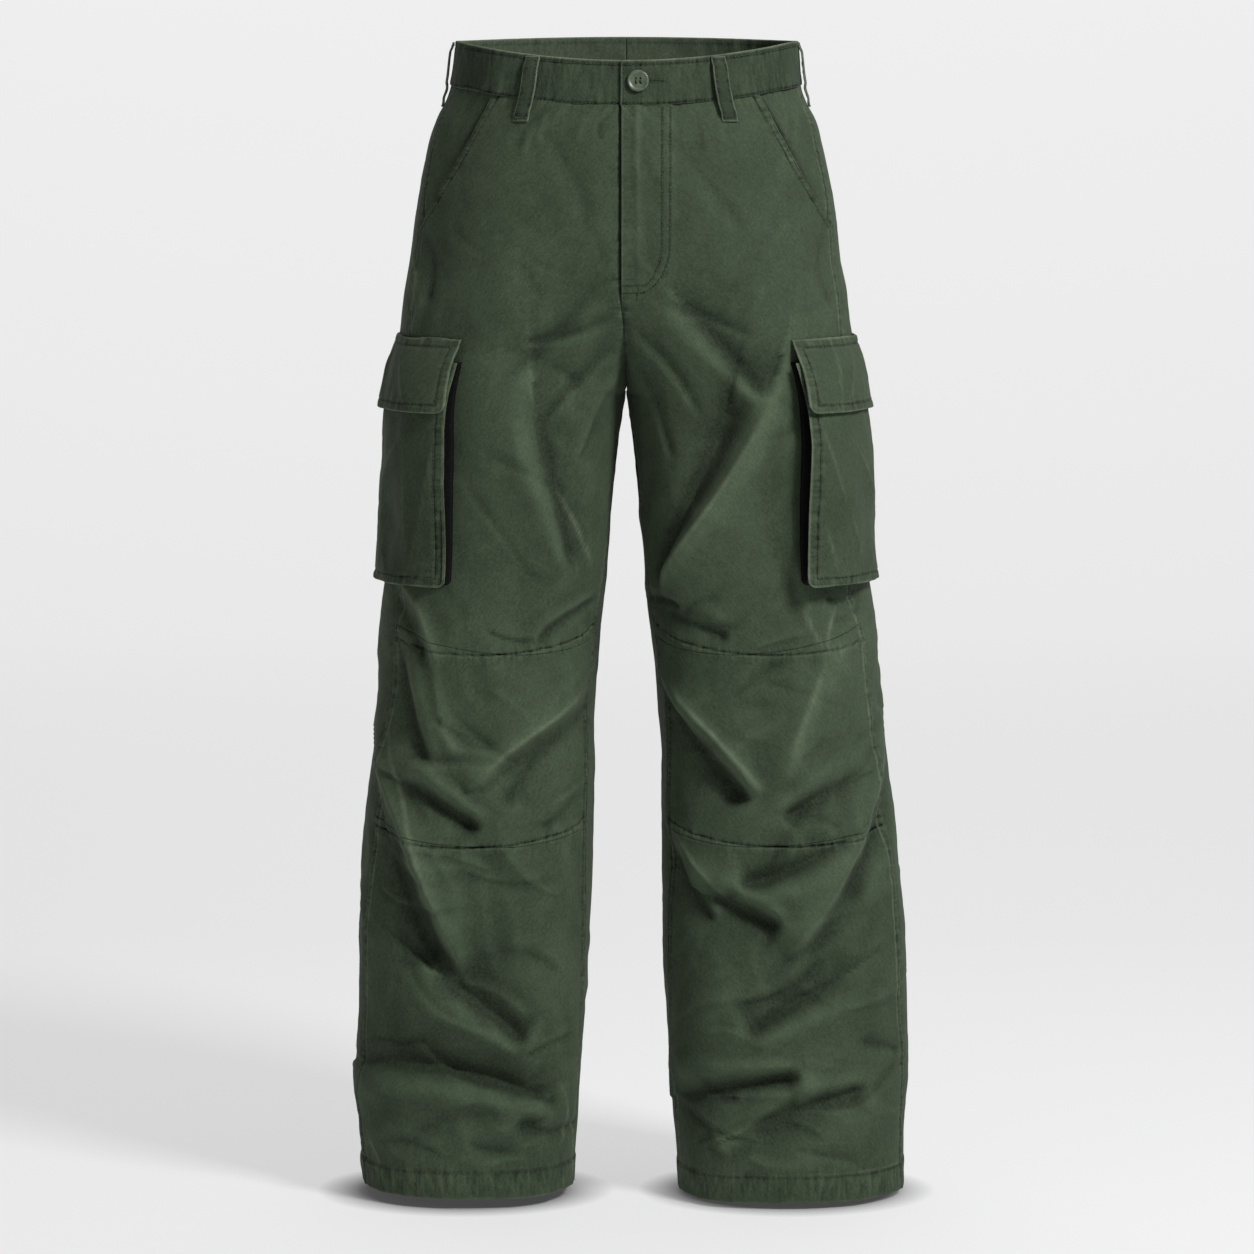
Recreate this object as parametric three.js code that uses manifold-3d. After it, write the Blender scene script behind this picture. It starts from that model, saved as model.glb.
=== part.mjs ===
// Wide-legged cargo trousers in the shape they take when worn, hollow, with nobody inside.
// Millimetres, +Z up, the front faces -Y, +X is the wearer's left side.
// The origin is the centre of the waist opening, level with the top edge of the waistband at the hips.
import * as THREE from "three";
import Module from "manifold-3d";

// Cloth thicknesses, with the turned-in allowances that each piece carries.
const clothWall = 1.8;
const bandWall = 2.8;
const flapWall = 2.2;
const flyWall = 1.0;
const loopWall = 1.6;
const seamGap = 0.3;
const lyingGap = 0.8; // a piece that lies on a creased panel
const radians = Math.PI / 180;

// Heights of the main lines.
const frontDip = 17;
const backRaise = 4;
const topAtHip = -2;
const bandHeight = 40;
const flyFoot = -223;
const crotch = -314;
const valleyTop = -205;
const kneeTop = { inseam: -530, side: -516, dip: 18 };
const kneeFoot = { inseam: -700, side: -692, dip: 18 };
const hemRight = -1031;
const hemLeft = -1035;
const hemHeight = 25;
const hemBulk = 0.7;

// The outline from the front: half widths from the centre line, and the seam or gap between the legs.
const outlineColumns = ["z", "outerRight", "outerLeft", "innerRight", "innerLeft"];
const outline = table(outlineColumns, [
  [12, 150, 150, 4.5, -4.5],
  [-3, 151, 151, 4.5, -4.5],
  [-43, 156, 156, 4.5, -4.5],
  [-58, 161.5, 161.5, 4.5, -4.5],
  [-73, 169, 169, 4.5, -4.5],
  [-90, 175, 173.5, 4.5, -4.5],
  [-144, 185.5, 185, 4.5, -4.5],
  [-197, 193, 192, 4.5, -4.5],
  [-226, 198.5, 197.5, 4, -4],
  [-260, 202, 201.5, 2, -2],
  [-314, 206, 205.5, 0.8, 0.8],
  [-330, 207.5, 207, 3, 3],
  [-358, 209.5, 209, 7, 6.5],
  [-412, 211.5, 211, 11.7, 11],
  [-466, 215, 215, 16, 15.5],
  [-503, 220.5, 221, 20.5, 19],
  [-539, 223.5, 226, 25, 23.5],
  [-593, 224.5, 230.5, 28.5, 27.5],
  [-648, 230, 235.5, 29, 30.5],
  [-720, 237, 244, 30, 31.5],
  [-793, 241, 251.5, 31.7, 32.7],
  [-866, 243, 253.5, 36, 35.5],
  [-921, 247.5, 256, 40, 37.5],
  [-959, 245, 253.5, 42.5, 40],
  [-996, 241.5, 251.5, 45.5, 44.5],
  [-1040, 238, 251, 48, 48],
]);

// The form in depth: how far out the front's crown lies, front and back depths,
// and the angles of the side seam, and of the centre seam or inseam, round each leg.
const formColumns = ["z", "crown", "front", "back", "sideSeam", "inseam"];
const form = table(formColumns, [
  [12, 6, 101, 104, 10, 94],
  [-43, 6, 109, 113, 11, 94],
  [-58, 6, 111, 117, 12, 94],
  [-90, 12, 114, 126, 13, 97],
  [-144, 28, 117, 139, 14, 104],
  [-197, 48, 118, 146, 18, 115],
  [-226, 62, 118, 147, 20, 125],
  [-260, 80, 117, 146, 22, 142],
  [-314, 103, 115, 140, 27, 180],
  [-358, 107, 112, 132, 30, 176],
  [-412, 111, 109, 122, 32, 171],
  [-466, 116, 106, 112, 34, 166],
  [-539, 123, 102, 101, 31, 163],
  [-648, 130, 97, 96, 25, 161],
  [-720, 134, 94, 96, 22, 160],
  [-793, 138, 93, 97, 21, 162],
  [-866, 140, 92, 98, 20, 165],
  [-959, 142, 92, 98, 15, 168],
  [-1040, 142, 93, 98, 11, 170],
]);
const squareness = 0.12; // how much fuller than an ellipse a section is
const innerSquareness = 0.4; // the same on the inside of a leg, below the crotch

// The largest folds, as seen from the front or, for "back", seen through from the front.
// Each runs through three points; the height is outwards, a hollow is negative.
// The widths are to the left and to the right of the way it runs.
const foldColumns = ["side", "x0", "z0", "x1", "z1", "x2", "z2", "height", "left", "right"];
const frontFolds = table(foldColumns, [
  [-1, -93, -264, -69, -361, -30, -472, 6, 25, 38],
  [-1, -202, -543, -193, -591, -172, -643, -7, 18, 20],
  [-1, -37, -574, -98, -623, -140, -665, 6, 16, 26],
  [-1, -200, -656, -167, -675, -128, -702, -10, 16, 16],
  [-1, -223, -638, -197, -700, -142, -833, 13, 36, 17],
  [-1, -211, -725, -194, -770, -165, -822, -9, 17, 18],
  [-1, -160, -835, -123, -862, -85, -894, -11, 17, 17],
  [-1, -244, -918, -159, -916, -53, -956, -13, 17, 18],
  [1, 58, -236, 88, -269, 125, -312, -8, 18, 20],
  [1, 125, -315, 85, -391, 30, -499, 8, 34, 20],
  [1, 67, -317, 49, -387, 27, -463, -8, 22, 22],
  [1, 191, -529, 163, -588, 138, -664, 8, 22, 24],
  [1, 35, -588, 66, -629, 112, -677, -8, 16, 16],
  [1, 228, -640, 192, -733, 143, -817, 12, 17, 34],
  [1, 190, -713, 146, -736, 98, -751, -9, 15, 15],
  [1, 76, -761, 108, -774, 140, -787, -10, 16, 16],
  [1, 46, -945, 100, -930, 159, -921, -13, 17, 17],
  [1, 158, -929, 109, -965, 80, -992, 8, 15, 17],
]);
const backFolds = table(foldColumns, [
  [-1, -40, -330, -90, -352, -150, -362, -8, 20, 22],
  [-1, -195, -560, -130, -600, -52, -590, -10, 18, 20],
  [-1, -60, -655, -120, -672, -190, -650, 9, 20, 22],
  [-1, -215, -700, -160, -735, -90, -742, -9, 18, 20],
  [-1, -70, -880, -140, -905, -215, -890, -12, 18, 20],
  [1, 38, -332, 95, -358, 158, -360, -8, 20, 22],
  [1, 60, -585, 130, -605, 200, -575, -10, 18, 20],
  [1, 205, -652, 140, -668, 75, -650, 9, 20, 22],
  [1, 80, -722, 150, -748, 220, -722, -9, 18, 20],
  [1, 60, -905, 140, -925, 225, -898, -12, 18, 20],
]);
const seamShare = 0.35; // folds fade out this close to the sides of a leg

// The slanted front pocket: from the waist seam down to the side seam.
const slant = { topX: 118, topZ: -52, footZ: -168, under: 12, sunk: 2.6 };

// The left front overlaps the right one along the fly.
const fly = { step: 2.2, reach: 44, width: 38.5, footWidth: 7, bendZ: -178 };

// The bellows pocket on each thigh, by angle round the leg and by height.
const cargo = {
  mouth: -283, foot: -480, flapTop: -263, flapFoot: -327,
  frontAngleTop: 62.5, frontAngleFoot: 68.5, backAngle: -50, // the front edge is upright
  flapAngleTop: 59, flapAngleFoot: 64.5,
  bellowsIn: 10, edgeIn: 1.5, stripWall: 1.9,
};
const cargoDepthColumns = ["angle", "depth"];
const cargoDepth = table(cargoDepthColumns, [
  [70, 24.5],
  [50, 20.5],
  [25, 12],
  [0, 7.5],
  [-25, 9.5],
  [-50, 14],
]);

// Belt loops: angle round the waist, from the wearer's left side towards the front.
const loopWidth = 13;
const loopLength = 57;
const loopTopInset = 1.5;
const loops = {
  belt_loop_front_left: { angle: 58.5, lean: 2, standOff: 3.2 },
  belt_loop_front_right: { angle: 122, lean: -2, standOff: 3.2 },
  belt_loop_side_left: { angle: -3, lean: 0, standOff: 5.8 },
  belt_loop_side_right: { angle: 183, lean: 0, standOff: 5.8 },
  belt_loop_back: { angle: -90, lean: 0, standOff: 5.8 },
};

// The waist button: a four-hole disc with a raised rim.
const button = { x: 10.5, z: -37.5, radius: 9.5, thick: 3.2, rim: 2.2, dish: 0.9, hole: 1.0, spread: 2.0, tilt: 8 };

const green = { cloth: 0x4a5a47, band: 0x485745, button: 0x4c5a4a };

function table(columns, rows) {
  return rows.map((row) => Object.fromEntries(columns.map((name, i) => [name, row[i]])));
}

// A smooth value of one column at a height or angle, from rows in falling order of the first column.
function at(rows, key, where, column) {
  const last = rows.length - 1;
  if (where >= rows[0][key]) return rows[0][column];
  if (where <= rows[last][key]) return rows[last][column];
  let i = 0;
  while (rows[i + 1][key] > where) i += 1;
  const slope = (a, b) => (rows[b][column] - rows[a][column]) / (rows[b][key] - rows[a][key]);
  const span = rows[i + 1][key] - rows[i][key];
  const before = i > 0 ? slope(i - 1, i + 1) : slope(i, i + 1);
  const after = i + 1 < last ? slope(i, i + 2) : slope(i, i + 1);
  const s = (where - rows[i][key]) / span;
  const h = [1 - 3 * s * s + 2 * s ** 3, s * (1 - s) ** 2, 3 * s * s - 2 * s ** 3, s * s * (s - 1)];
  return h[0] * rows[i][column] + h[1] * span * before + h[2] * rows[i + 1][column] + h[3] * span * after;
}

const outer = (side, z) => at(outline, "z", z, side > 0 ? "outerLeft" : "outerRight");
const inner = (side, z) => at(outline, "z", z, side > 0 ? "innerLeft" : "innerRight") + seamGap / 2;
const formAt = (column, z) => at(form, "z", z, column);

const mix = (a, b, t) => a + (b - a) * t;
const clamp = (v, low, high) => Math.min(high, Math.max(low, v));

function ease(from, to, v) {
  const s = clamp((v - from) / (to - from), 0, 1);
  return s * s * (3 - 2 * s);
}

// How far the centre seam keeps up with the crown: 1 on the hips, 0 at the crotch point.
function valley(z, power) {
  const s = clamp((valleyTop - z) / (valleyTop - crotch), 0, 1);
  return Math.max(0, 1 - s * s) ** power;
}

// A point on a section. The angle is 0 at the side, 90 at the front, -90 at the back.
// Beyond those it runs inwards, to the centre seam above the crotch and round the inside leg below it.
function section(side, z, angle) {
  const crown = formAt("crown", z);
  const gap = inner(side, z);
  const wrapped = angle < -180 ? angle + 360 : angle;
  const front = wrapped >= 0;
  const depth = formAt(front ? "front" : "back", z);
  const turn = Math.abs(wrapped);
  let x = crown + (outer(side, z) - crown) * Math.cos(turn * radians);
  let y = depth * Math.sin(turn * radians) * (1 + squareness * Math.cos(turn * radians) ** 2);
  if (turn > 90) {
    const end = z > crotch ? formAt("inseam", z) : 180;
    const v = (90 * (turn - 90) * radians) / (end - 90);
    const keep = valley(z, front ? 0.7 : 0.75);
    x = gap + (crown - gap) * (1 - Math.sin(v));
    y = depth * (keep + (1 - keep) * Math.cos(v) * (1 + innerSquareness * Math.sin(v) ** 2 * (1 - keep)));
  }
  return new THREE.Vector2(side * x, front ? -y : y);
}

function foldHeight(fold, x, z) {
  const steps = 6;
  let best = { distance: Infinity };
  let ax = fold.x0;
  let az = fold.z0;
  for (let i = 1; i <= steps; i += 1) {
    const t = i / steps;
    const b0 = (1 - t) * (1 - 2 * t);
    const b1 = 4 * t * (1 - t);
    const b2 = t * (2 * t - 1);
    const bx = b0 * fold.x0 + b1 * fold.x1 + b2 * fold.x2;
    const bz = b0 * fold.z0 + b1 * fold.z1 + b2 * fold.z2;
    const dx = bx - ax;
    const dz = bz - az;
    const along = clamp(((x - ax) * dx + (z - az) * dz) / (dx * dx + dz * dz), 0, 1);
    const ex = x - ax - along * dx;
    const ez = z - az - along * dz;
    const distance = Math.hypot(ex, ez);
    if (distance < best.distance) {
      best = { distance, left: dx * ez - dz * ex > 0, along: (i - 1 + along) / steps };
    }
    ax = bx;
    az = bz;
  }
  const s = best.distance / (best.left ? fold.left : fold.right);
  return fold.height * Math.exp(-s * s) * Math.sin(Math.PI * mix(0.12, 0.88, best.along));
}

// Everything that moves the cloth off its plain section, outwards.
function relief(side, angle, x, z) {
  const wrapped = angle < -180 ? angle + 360 : angle;
  const facing = Math.sin(wrapped * radians);
  const fade = ease(0, seamShare, Math.abs(facing));
  const folds = facing > 0 ? frontFolds : backFolds;
  let height = 0;
  for (const fold of folds) if (fold.side === side) height += fade * foldHeight(fold, x, z);
  if (side > 0 && facing > 0) {
    height += fly.step * (1 - ease(fly.width, fly.reach, x)) * (1 - ease(flyFoot + 4, flyFoot - 22, z));
  }
  const hem = side > 0 ? hemLeft : hemRight;
  return height + hemBulk * (1 - ease(hem + hemHeight - 1, hem + hemHeight + 1, z));
}

// Two angles beside one, for a slope; above the crotch a section ends at the centre seam.
function aroundAngle(z, angle, step) {
  const end = z > crotch ? formAt("inseam", z) : 360;
  return [Math.max(angle - step, -end), Math.min(angle + step, end)];
}

// The outward direction, level, at an angle of a section.
function outward(side, z, angle) {
  const [low, high] = aroundAngle(z, angle, 0.5);
  const d = section(side, z, high).sub(section(side, z, low));
  return new THREE.Vector2(d.y, -d.x).multiplyScalar(-side).normalize();
}

// A point of the cloth's outer face, moved out by lift.
function cloth(side, z, angle, lift = 0) {
  const p = section(side, z, angle);
  const n = outward(side, z, angle);
  p.addScaledVector(n, relief(side, angle, p.x, z) + lift);
  // Raised cloth stops at the centre seam.
  if (z > crotch) p.x = side * Math.max(side * p.x, inner(side, z));
  return new THREE.Vector3(p.x, p.y, z);
}

// The same, moved inwards square to the creased face, for the wall's inside.
function clothInside(side, z, angle, lift, wall) {
  const p = cloth(side, z, angle, lift);
  const [low, high] = aroundAngle(z, angle, 1);
  const across = cloth(side, z, high, lift).sub(cloth(side, z, low, lift));
  const up = cloth(side, z + 4, angle, lift).sub(cloth(side, z - 4, angle, lift));
  const n = across.cross(up).normalize();
  const level = outward(side, z, angle);
  if (n.x * level.x + n.y * level.y < 0) n.negate();
  n.z *= 0.5; // keeps the cut edges of neighbours parallel
  return p.addScaledVector(n.normalize(), -wall);
}

// A closed wall between two grids of points, with its four edges.
function wallBetween(outerGrid, innerGrid) {
  const rows = outerGrid.length;
  const columns = outerGrid[0].length;
  const points = [...outerGrid.flat(), ...innerGrid.flat()];
  const at0 = (i, j) => i * columns + j;
  const at1 = (i, j) => rows * columns + i * columns + j;
  const faces = [];
  const quad = (a, b, c, d) => faces.push(a, b, c, a, c, d);
  for (let i = 0; i + 1 < rows; i += 1) {
    for (let j = 0; j + 1 < columns; j += 1) {
      quad(at0(i, j), at0(i + 1, j), at0(i + 1, j + 1), at0(i, j + 1));
      quad(at1(i, j), at1(i, j + 1), at1(i + 1, j + 1), at1(i + 1, j));
    }
    quad(at0(i + 1, 0), at0(i, 0), at1(i, 0), at1(i + 1, 0));
    quad(at0(i, columns - 1), at0(i + 1, columns - 1), at1(i + 1, columns - 1), at1(i, columns - 1));
  }
  for (let j = 0; j + 1 < columns; j += 1) {
    quad(at0(0, j), at0(0, j + 1), at1(0, j + 1), at1(0, j));
    quad(at0(rows - 1, j + 1), at0(rows - 1, j), at1(rows - 1, j), at1(rows - 1, j + 1));
  }
  return solid(points, faces);
}

// A closed strip: each station is a ring of points, with a cap at both ends.
function strip(stations) {
  const around = stations[0].length;
  const faces = [];
  for (let i = 0; i + 1 < stations.length; i += 1) {
    for (let j = 0; j < around; j += 1) {
      const k = (j + 1) % around;
      const a = i * around;
      const b = a + around;
      faces.push(a + j, b + j, b + k, a + j, b + k, a + k);
    }
  }
  // The ring is an open polyline and its own return, so a cap is a row of quads between the two.
  const half = around / 2;
  const last = (stations.length - 1) * around;
  for (let j = 0; j + 1 < half; j += 1) {
    const m = around - 1 - j;
    faces.push(j, j + 1, m - 1, j, m - 1, m);
    faces.push(last + j, last + m - 1, last + j + 1, last + j, last + m, last + m - 1);
  }
  return solid(stations.flat(), faces);
}

// An indexed geometry with its faces turned outwards.
function solid(points, faces) {
  let volume = 0;
  for (let i = 0; i < faces.length; i += 3) {
    const [a, b, c] = [points[faces[i]], points[faces[i + 1]], points[faces[i + 2]]];
    volume += a.dot(b.clone().cross(c));
  }
  if (volume < 0) {
    for (let i = 0; i < faces.length; i += 3) [faces[i + 1], faces[i + 2]] = [faces[i + 2], faces[i + 1]];
  }
  const geometry = new THREE.BufferGeometry();
  geometry.setAttribute("position", new THREE.Float32BufferAttribute(points.flatMap((p) => [p.x, p.y, p.z]), 3));
  geometry.setIndex(faces);
  return geometry;
}

function grid(rows, columns, pointAt) {
  return Array.from({ length: rows + 1 }, (_, i) =>
    Array.from({ length: columns + 1 }, (_, j) => pointAt(i / rows, j / columns)),
  );
}

// The top edge of the waistband, by the share of the way from the side to the middle:
// it dips at the front and rises a little at the back.
const waistTop = (share, front) => topAtHip + (front ? -frontDip : backRaise) * share * share;

// The seam under it, by distance from the centre line.
function waistSeamAt(x, front) {
  const share = Math.sqrt(clamp(1 - (x / outer(1, -43)) ** 2, 0, 1));
  return waistTop(share, front) - bandHeight;
}

// The same, by the angle round a leg.
function waistSeamOver(side, angle) {
  const p = section(side, -43, angle);
  return waistSeamAt(Math.abs(p.x), p.y < 0);
}

// Half a seam's gap, as an angle round a leg.
const seamTrim = () => seamGap / 2 / 100 / radians;

// The angle at which the slanted pocket edge crosses a height; below its foot this is the side seam.
function frontEdgeAngle(side, z) {
  const seam = formAt("sideSeam", z);
  if (z <= slant.footZ) return seam;
  const foot = section(side, slant.footZ, formAt("sideSeam", slant.footZ)).x * side;
  const x = mix(slant.topX, foot, (slant.topZ - z) / (slant.topZ - slant.footZ));
  return Math.max(seam, angleOfX(side, z, x));
}

// The front angle at which a section lies x out from the centre line.
function angleOfX(side, z, x) {
  const crown = formAt("crown", z);
  if (x >= crown) return Math.acos(clamp((x - crown) / (outer(side, z) - crown), -1, 1)) / radians;
  const gap = inner(side, z);
  const v = Math.asin(clamp(1 - (x - gap) / (crown - gap), -1, 1)) / radians;
  return 90 + (v * (formAt("inseam", z) - 90)) / 90;
}

// The rows that fronts and backs share, so that their seams lie side by side.
// A row runs from the centre seam or inseam, share 0, to the side, share 1.
const rowCount = { waistToSlant: 6, waistToCrotch: 12, waistToKnee: 22, kneeToShin: 9, shinToHem: 16 };
const firstRow = { upper: 0, knee: 22, lower: 31, end: 47 };

function rowEnds(side, row, topCentre, topSide) {
  const { waistToSlant, waistToCrotch, waistToKnee, kneeToShin, shinToHem } = rowCount;
  const hem = side > 0 ? hemLeft : hemRight;
  if (row <= waistToKnee) {
    return {
      inseam: row <= waistToCrotch
        ? mix(topCentre, crotch, row / waistToCrotch)
        : mix(crotch, kneeTop.inseam, (row - waistToCrotch) / (waistToKnee - waistToCrotch)),
      side: row <= waistToSlant
        ? mix(topSide, slant.footZ, row / waistToSlant)
        : mix(slant.footZ, kneeTop.side, (row - waistToSlant) / (waistToKnee - waistToSlant)),
    };
  }
  if (row <= firstRow.lower) {
    const s = (row - firstRow.knee) / kneeToShin;
    return { inseam: mix(kneeTop.inseam, kneeFoot.inseam, s), side: mix(kneeTop.side, kneeFoot.side, s) };
  }
  const s = (row - firstRow.lower) / shinToHem;
  return { inseam: mix(kneeFoot.inseam, hem, s), side: mix(kneeFoot.side, hem, s) };
}

// How far a front row sags between its ends: most at the two knee seams, not at all at waist and hem.
function rowDip(row) {
  if (row <= firstRow.knee) return kneeTop.dip * ease(0, firstRow.knee, row);
  return mix(kneeTop.dip, 0, ease(firstRow.lower, firstRow.end, row));
}

// One front piece, from one row to another.
function frontPanel(side, from, to, columns) {
  const endX = slant.topX;
  const topCentre = waistSeamAt(0, true);
  const topSide = waistSeamAt(endX, true);
  const trim = seamTrim();
  const place = (s, t) => {
    const row = from + s * (to - from);
    const ends = rowEnds(side, row, topCentre, topSide);
    const curve = waistSeamAt(endX * t, true) - mix(topCentre, topSide, t);
    let z = mix(ends.inseam, ends.side, t) - rowDip(row) * Math.sin(Math.PI * t);
    z += curve * Math.max(0, 1 - row / rowCount.waistToCrotch);
    if (s === 0) z -= seamGap / 2;
    if (s === 1 && to < firstRow.end) z += seamGap / 2;
    const start = formAt("inseam", z) - (z < crotch + 0.5 ? trim : 0);
    const end = frontEdgeAngle(side, z) + trim;
    if (row === 0) {
      // The top edge is set out by distance from the centre, to fit the waistband.
      const x = mix(inner(side, z), endX, t);
      z = waistSeamAt(x, true) - seamGap / 2;
      return [z, angleOfX(side, z, x)];
    }
    return [z, mix(start, end, t)];
  };
  return wallBetween(
    grid(to - from, columns, (s, t) => cloth(side, ...place(s, t))),
    grid(to - from, columns, (s, t) => clothInside(side, ...place(s, t), 0, clothWall)),
  );
}

// The back is one piece from waist to hem.
function backPanel(side, columns) {
  const topCentre = waistSeamAt(0, false);
  const topSide = waistSeamOver(side, formAt("sideSeam", -43));
  const trim = seamTrim();
  const place = (s, t) => {
    const row = s * firstRow.end;
    const ends = rowEnds(side, row, topCentre, topSide);
    let z = mix(ends.inseam, ends.side, t);
    const topAngle = mix(-formAt("inseam", -43), formAt("sideSeam", -43), t);
    const curve = waistSeamOver(side, topAngle) - mix(topCentre, topSide, t);
    z += curve * Math.max(0, 1 - row / rowCount.waistToSlant);
    if (row === 0) z -= seamGap / 2;
    const seam = formAt("sideSeam", z) - trim;
    const end = z > crotch + 0.5 ? -formAt("inseam", z) : formAt("inseam", z) - 360 + trim;
    return [z, mix(end, seam, t)];
  };
  return wallBetween(
    grid(firstRow.end, columns, (s, t) => cloth(side, ...place(s, t))),
    grid(firstRow.end, columns, (s, t) => clothInside(side, ...place(s, t), 0, clothWall)),
  );
}

// The piece that shows behind the slanted pocket edge, sunk under the front.
function hipFacing(side) {
  const rows = rowCount.waistToSlant;
  const foot = slant.footZ + 9;
  const topSide = waistSeamOver(side, formAt("sideSeam", -43));
  const hidden = [slant.under, slant.under / 2, -0.6]; // millimetres from the slanted edge
  const shown = 4;
  const columns = hidden.length - 1 + shown;
  const place = (s, t) => {
    const row = Math.round(s * rows);
    const column = Math.round(t * columns);
    let z = row === rows ? foot : mix(topSide, slant.footZ, row / rows);
    const edge = frontEdgeAngle(side, row === 0 ? slant.topZ : z);
    const seam = formAt("sideSeam", z) + seamTrim();
    const start = (mm) => edge + mm / outer(side, z) / radians;
    const share = Math.max(0, column - hidden.length + 1) / shown;
    const angle = column < hidden.length ? start(hidden[column]) : mix(start(-0.6), seam, share);
    if (row === 0) z = waistSeamOver(side, angle) - seamGap / 2;
    return [z, angle, -(slant.sunk + s) * (1 - ease(0.1, 1, share))];
  };
  return wallBetween(
    grid(rows, columns, (s, t) => cloth(side, ...place(s, t))),
    grid(rows, columns, (s, t) => clothInside(side, ...place(s, t), clothWall)),
  );
}

// A point on the waist, at an angle that runs all the way round: 0 left side, 90 front, 180 right side.
function waist(angle, z, lift) {
  const plain = (a) => {
    const c = Math.cos(a * radians);
    const wide = outer(c > 0 ? 1 : -1, z);
    const front = Math.sin(a * radians) > 0;
    const crown = formAt("crown", z);
    const share = clamp((Math.abs(wide * c) - crown) / (wide - crown), 0, 1);
    const y = formAt(front ? "front" : "back", z) * Math.sqrt(1 - share * share) * (1 + squareness * share * share);
    return new THREE.Vector2(wide * c, front ? -y : y);
  };
  const p = plain(angle);
  const d = plain(angle + 0.5).sub(plain(angle - 0.5));
  const n = new THREE.Vector2(-d.y, d.x).normalize();
  return new THREE.Vector3(p.x + n.x * lift, p.y + n.y * lift, z);
}

// Half of the waistband. The left half ends on top, at the fly; the right half runs on under it.
const bandLift = 1.4;
const bandOverlap = { onTop: 1.3, under: -2.2, blend: 14 };
function waistbandHalf(from, to, liftAt, rows, columns) {
  const place = (s, t) => {
    const angle = mix(from, to, t);
    const sine = Math.sin(angle * radians);
    const z = waistTop(Math.abs(sine), sine > 0) - bandHeight * s + (s === 1 ? seamGap : 0);
    return [angle, z, liftAt(angle)];
  };
  return wallBetween(
    grid(rows, columns, (s, t) => waist(...place(s, t))),
    grid(rows, columns, (s, t) => {
      const [angle, z, lift] = place(s, t);
      return waist(angle, z, lift - bandWall);
    }),
  );
}

// A belt loop: a strip that stands off the band between its stitched ends.
function beltLoop({ angle, lean, standOff }) {
  const foot = 0.4;
  const place = (s, t) => {
    const tilt = lean * s;
    const wide = loopWidth / 150 / radians;
    const here = angle - tilt + (t - 0.5) * wide * (Math.abs(Math.sin(angle * radians)) > 0.99 ? 1 : 1.15);
    const sine = Math.sin(angle * radians);
    const z = waistTop(Math.abs(sine), sine > 0) - loopTopInset - loopLength * s;
    const onBand = 1 - ease(bandHeight - 5, bandHeight + 1, loopLength * s);
    const arch = standOff * ease(0, 0.16, s) * (1 - ease(0.84, 1, s));
    return [here, z, bandLift * onBand + foot + arch + loopWall];
  };
  return wallBetween(
    grid(10, 2, (s, t) => waist(...place(s, t))),
    grid(10, 2, (s, t) => {
      const [here, z, lift] = place(s, t);
      return waist(here, z, lift - loopWall);
    }),
  );
}

// The fly: a strip with a rounded foot, lying on the left front.
function flyPiece(rows, columns) {
  const place = (s, t) => {
    const z = mix(waistSeamAt(0, true) - 1, flyFoot + 1, s);
    const bend = clamp((fly.bendZ - z) / (fly.bendZ - flyFoot), 0, 1);
    const edge = fly.footWidth + (fly.width - fly.footWidth) * Math.sqrt(1 - bend * bend);
    const x = mix(inner(1, z) + seamGap, edge, t);
    return [z, angleOfX(1, z, x)];
  };
  return wallBetween(
    grid(rows, columns, (s, t) => cloth(1, ...place(s, t), lyingGap / 2 + flyWall)),
    grid(rows, columns, (s, t) => cloth(1, ...place(s, t), lyingGap / 2)),
  );
}

const pocketShare = (z) => clamp((cargo.mouth - z) / (cargo.mouth - cargo.foot), 0, 1);
const pocketFront = (z) => mix(cargo.frontAngleTop, cargo.frontAngleFoot, pocketShare(z));

// How far the pocket's face stands off the leg.
function pocketDepth(angle, z) {
  const depth = at(cargoDepth, "angle", angle, "depth");
  return depth * (0.62 + 0.38 * Math.sin(Math.PI * mix(0.12, 0.78, pocketShare(z))));
}

// The bellows strip down the front edge, along the foot and up the back edge, folded inwards.
function cargoBellows(side) {
  const mmPerDegree = 108 * radians;
  const corners = [
    [cargo.frontAngleTop, cargo.mouth, -1, 0],
    [cargo.frontAngleFoot, cargo.foot, -1, 1],
    [cargo.backAngle, cargo.foot, 1, 1],
    [cargo.backAngle, cargo.mouth, 1, 0],
  ];
  const runs = [12, 10, 12];
  const stations = [];
  runs.forEach((count, k) => {
    for (let i = 0; i < count + (k === runs.length - 1 ? 1 : 0); i += 1) {
      const t = i / count;
      const [a0, z0] = corners[k];
      const [a1, z1] = corners[k + 1];
      // The way in is square to the run, and halfway between the two runs at a corner.
      const way = i === 0 ? corners[k].slice(2) : t === 1 ? corners[k + 1].slice(2) : [[-1, 0], [0, 1], [1, 0]][k];
      stations.push({ angle: mix(a0, a1, t), z: mix(z0, z1, t), way });
    }
  });
  return strip(
    stations.map(({ angle, z, way }) => {
      const depth = pocketDepth(angle, z) - 0.3;
      const mid = (lyingGap + depth) / 2;
      const profile = [
        [0, lyingGap],
        [cargo.bellowsIn, mid],
        [cargo.edgeIn, depth],
        [cargo.edgeIn + cargo.stripWall, depth],
        [cargo.bellowsIn + cargo.stripWall, mid],
        [cargo.stripWall, lyingGap],
      ];
      return profile.map(([inset, lift]) =>
        cloth(side, z + way[1] * inset, angle + (way[0] * inset) / mmPerDegree, lift),
      );
    }),
  );
}

// Even steps, but shorter ones at both ends.
const closerAtEnds = (t) => t - 0.07 * Math.sin(2 * Math.PI * t);

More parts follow.
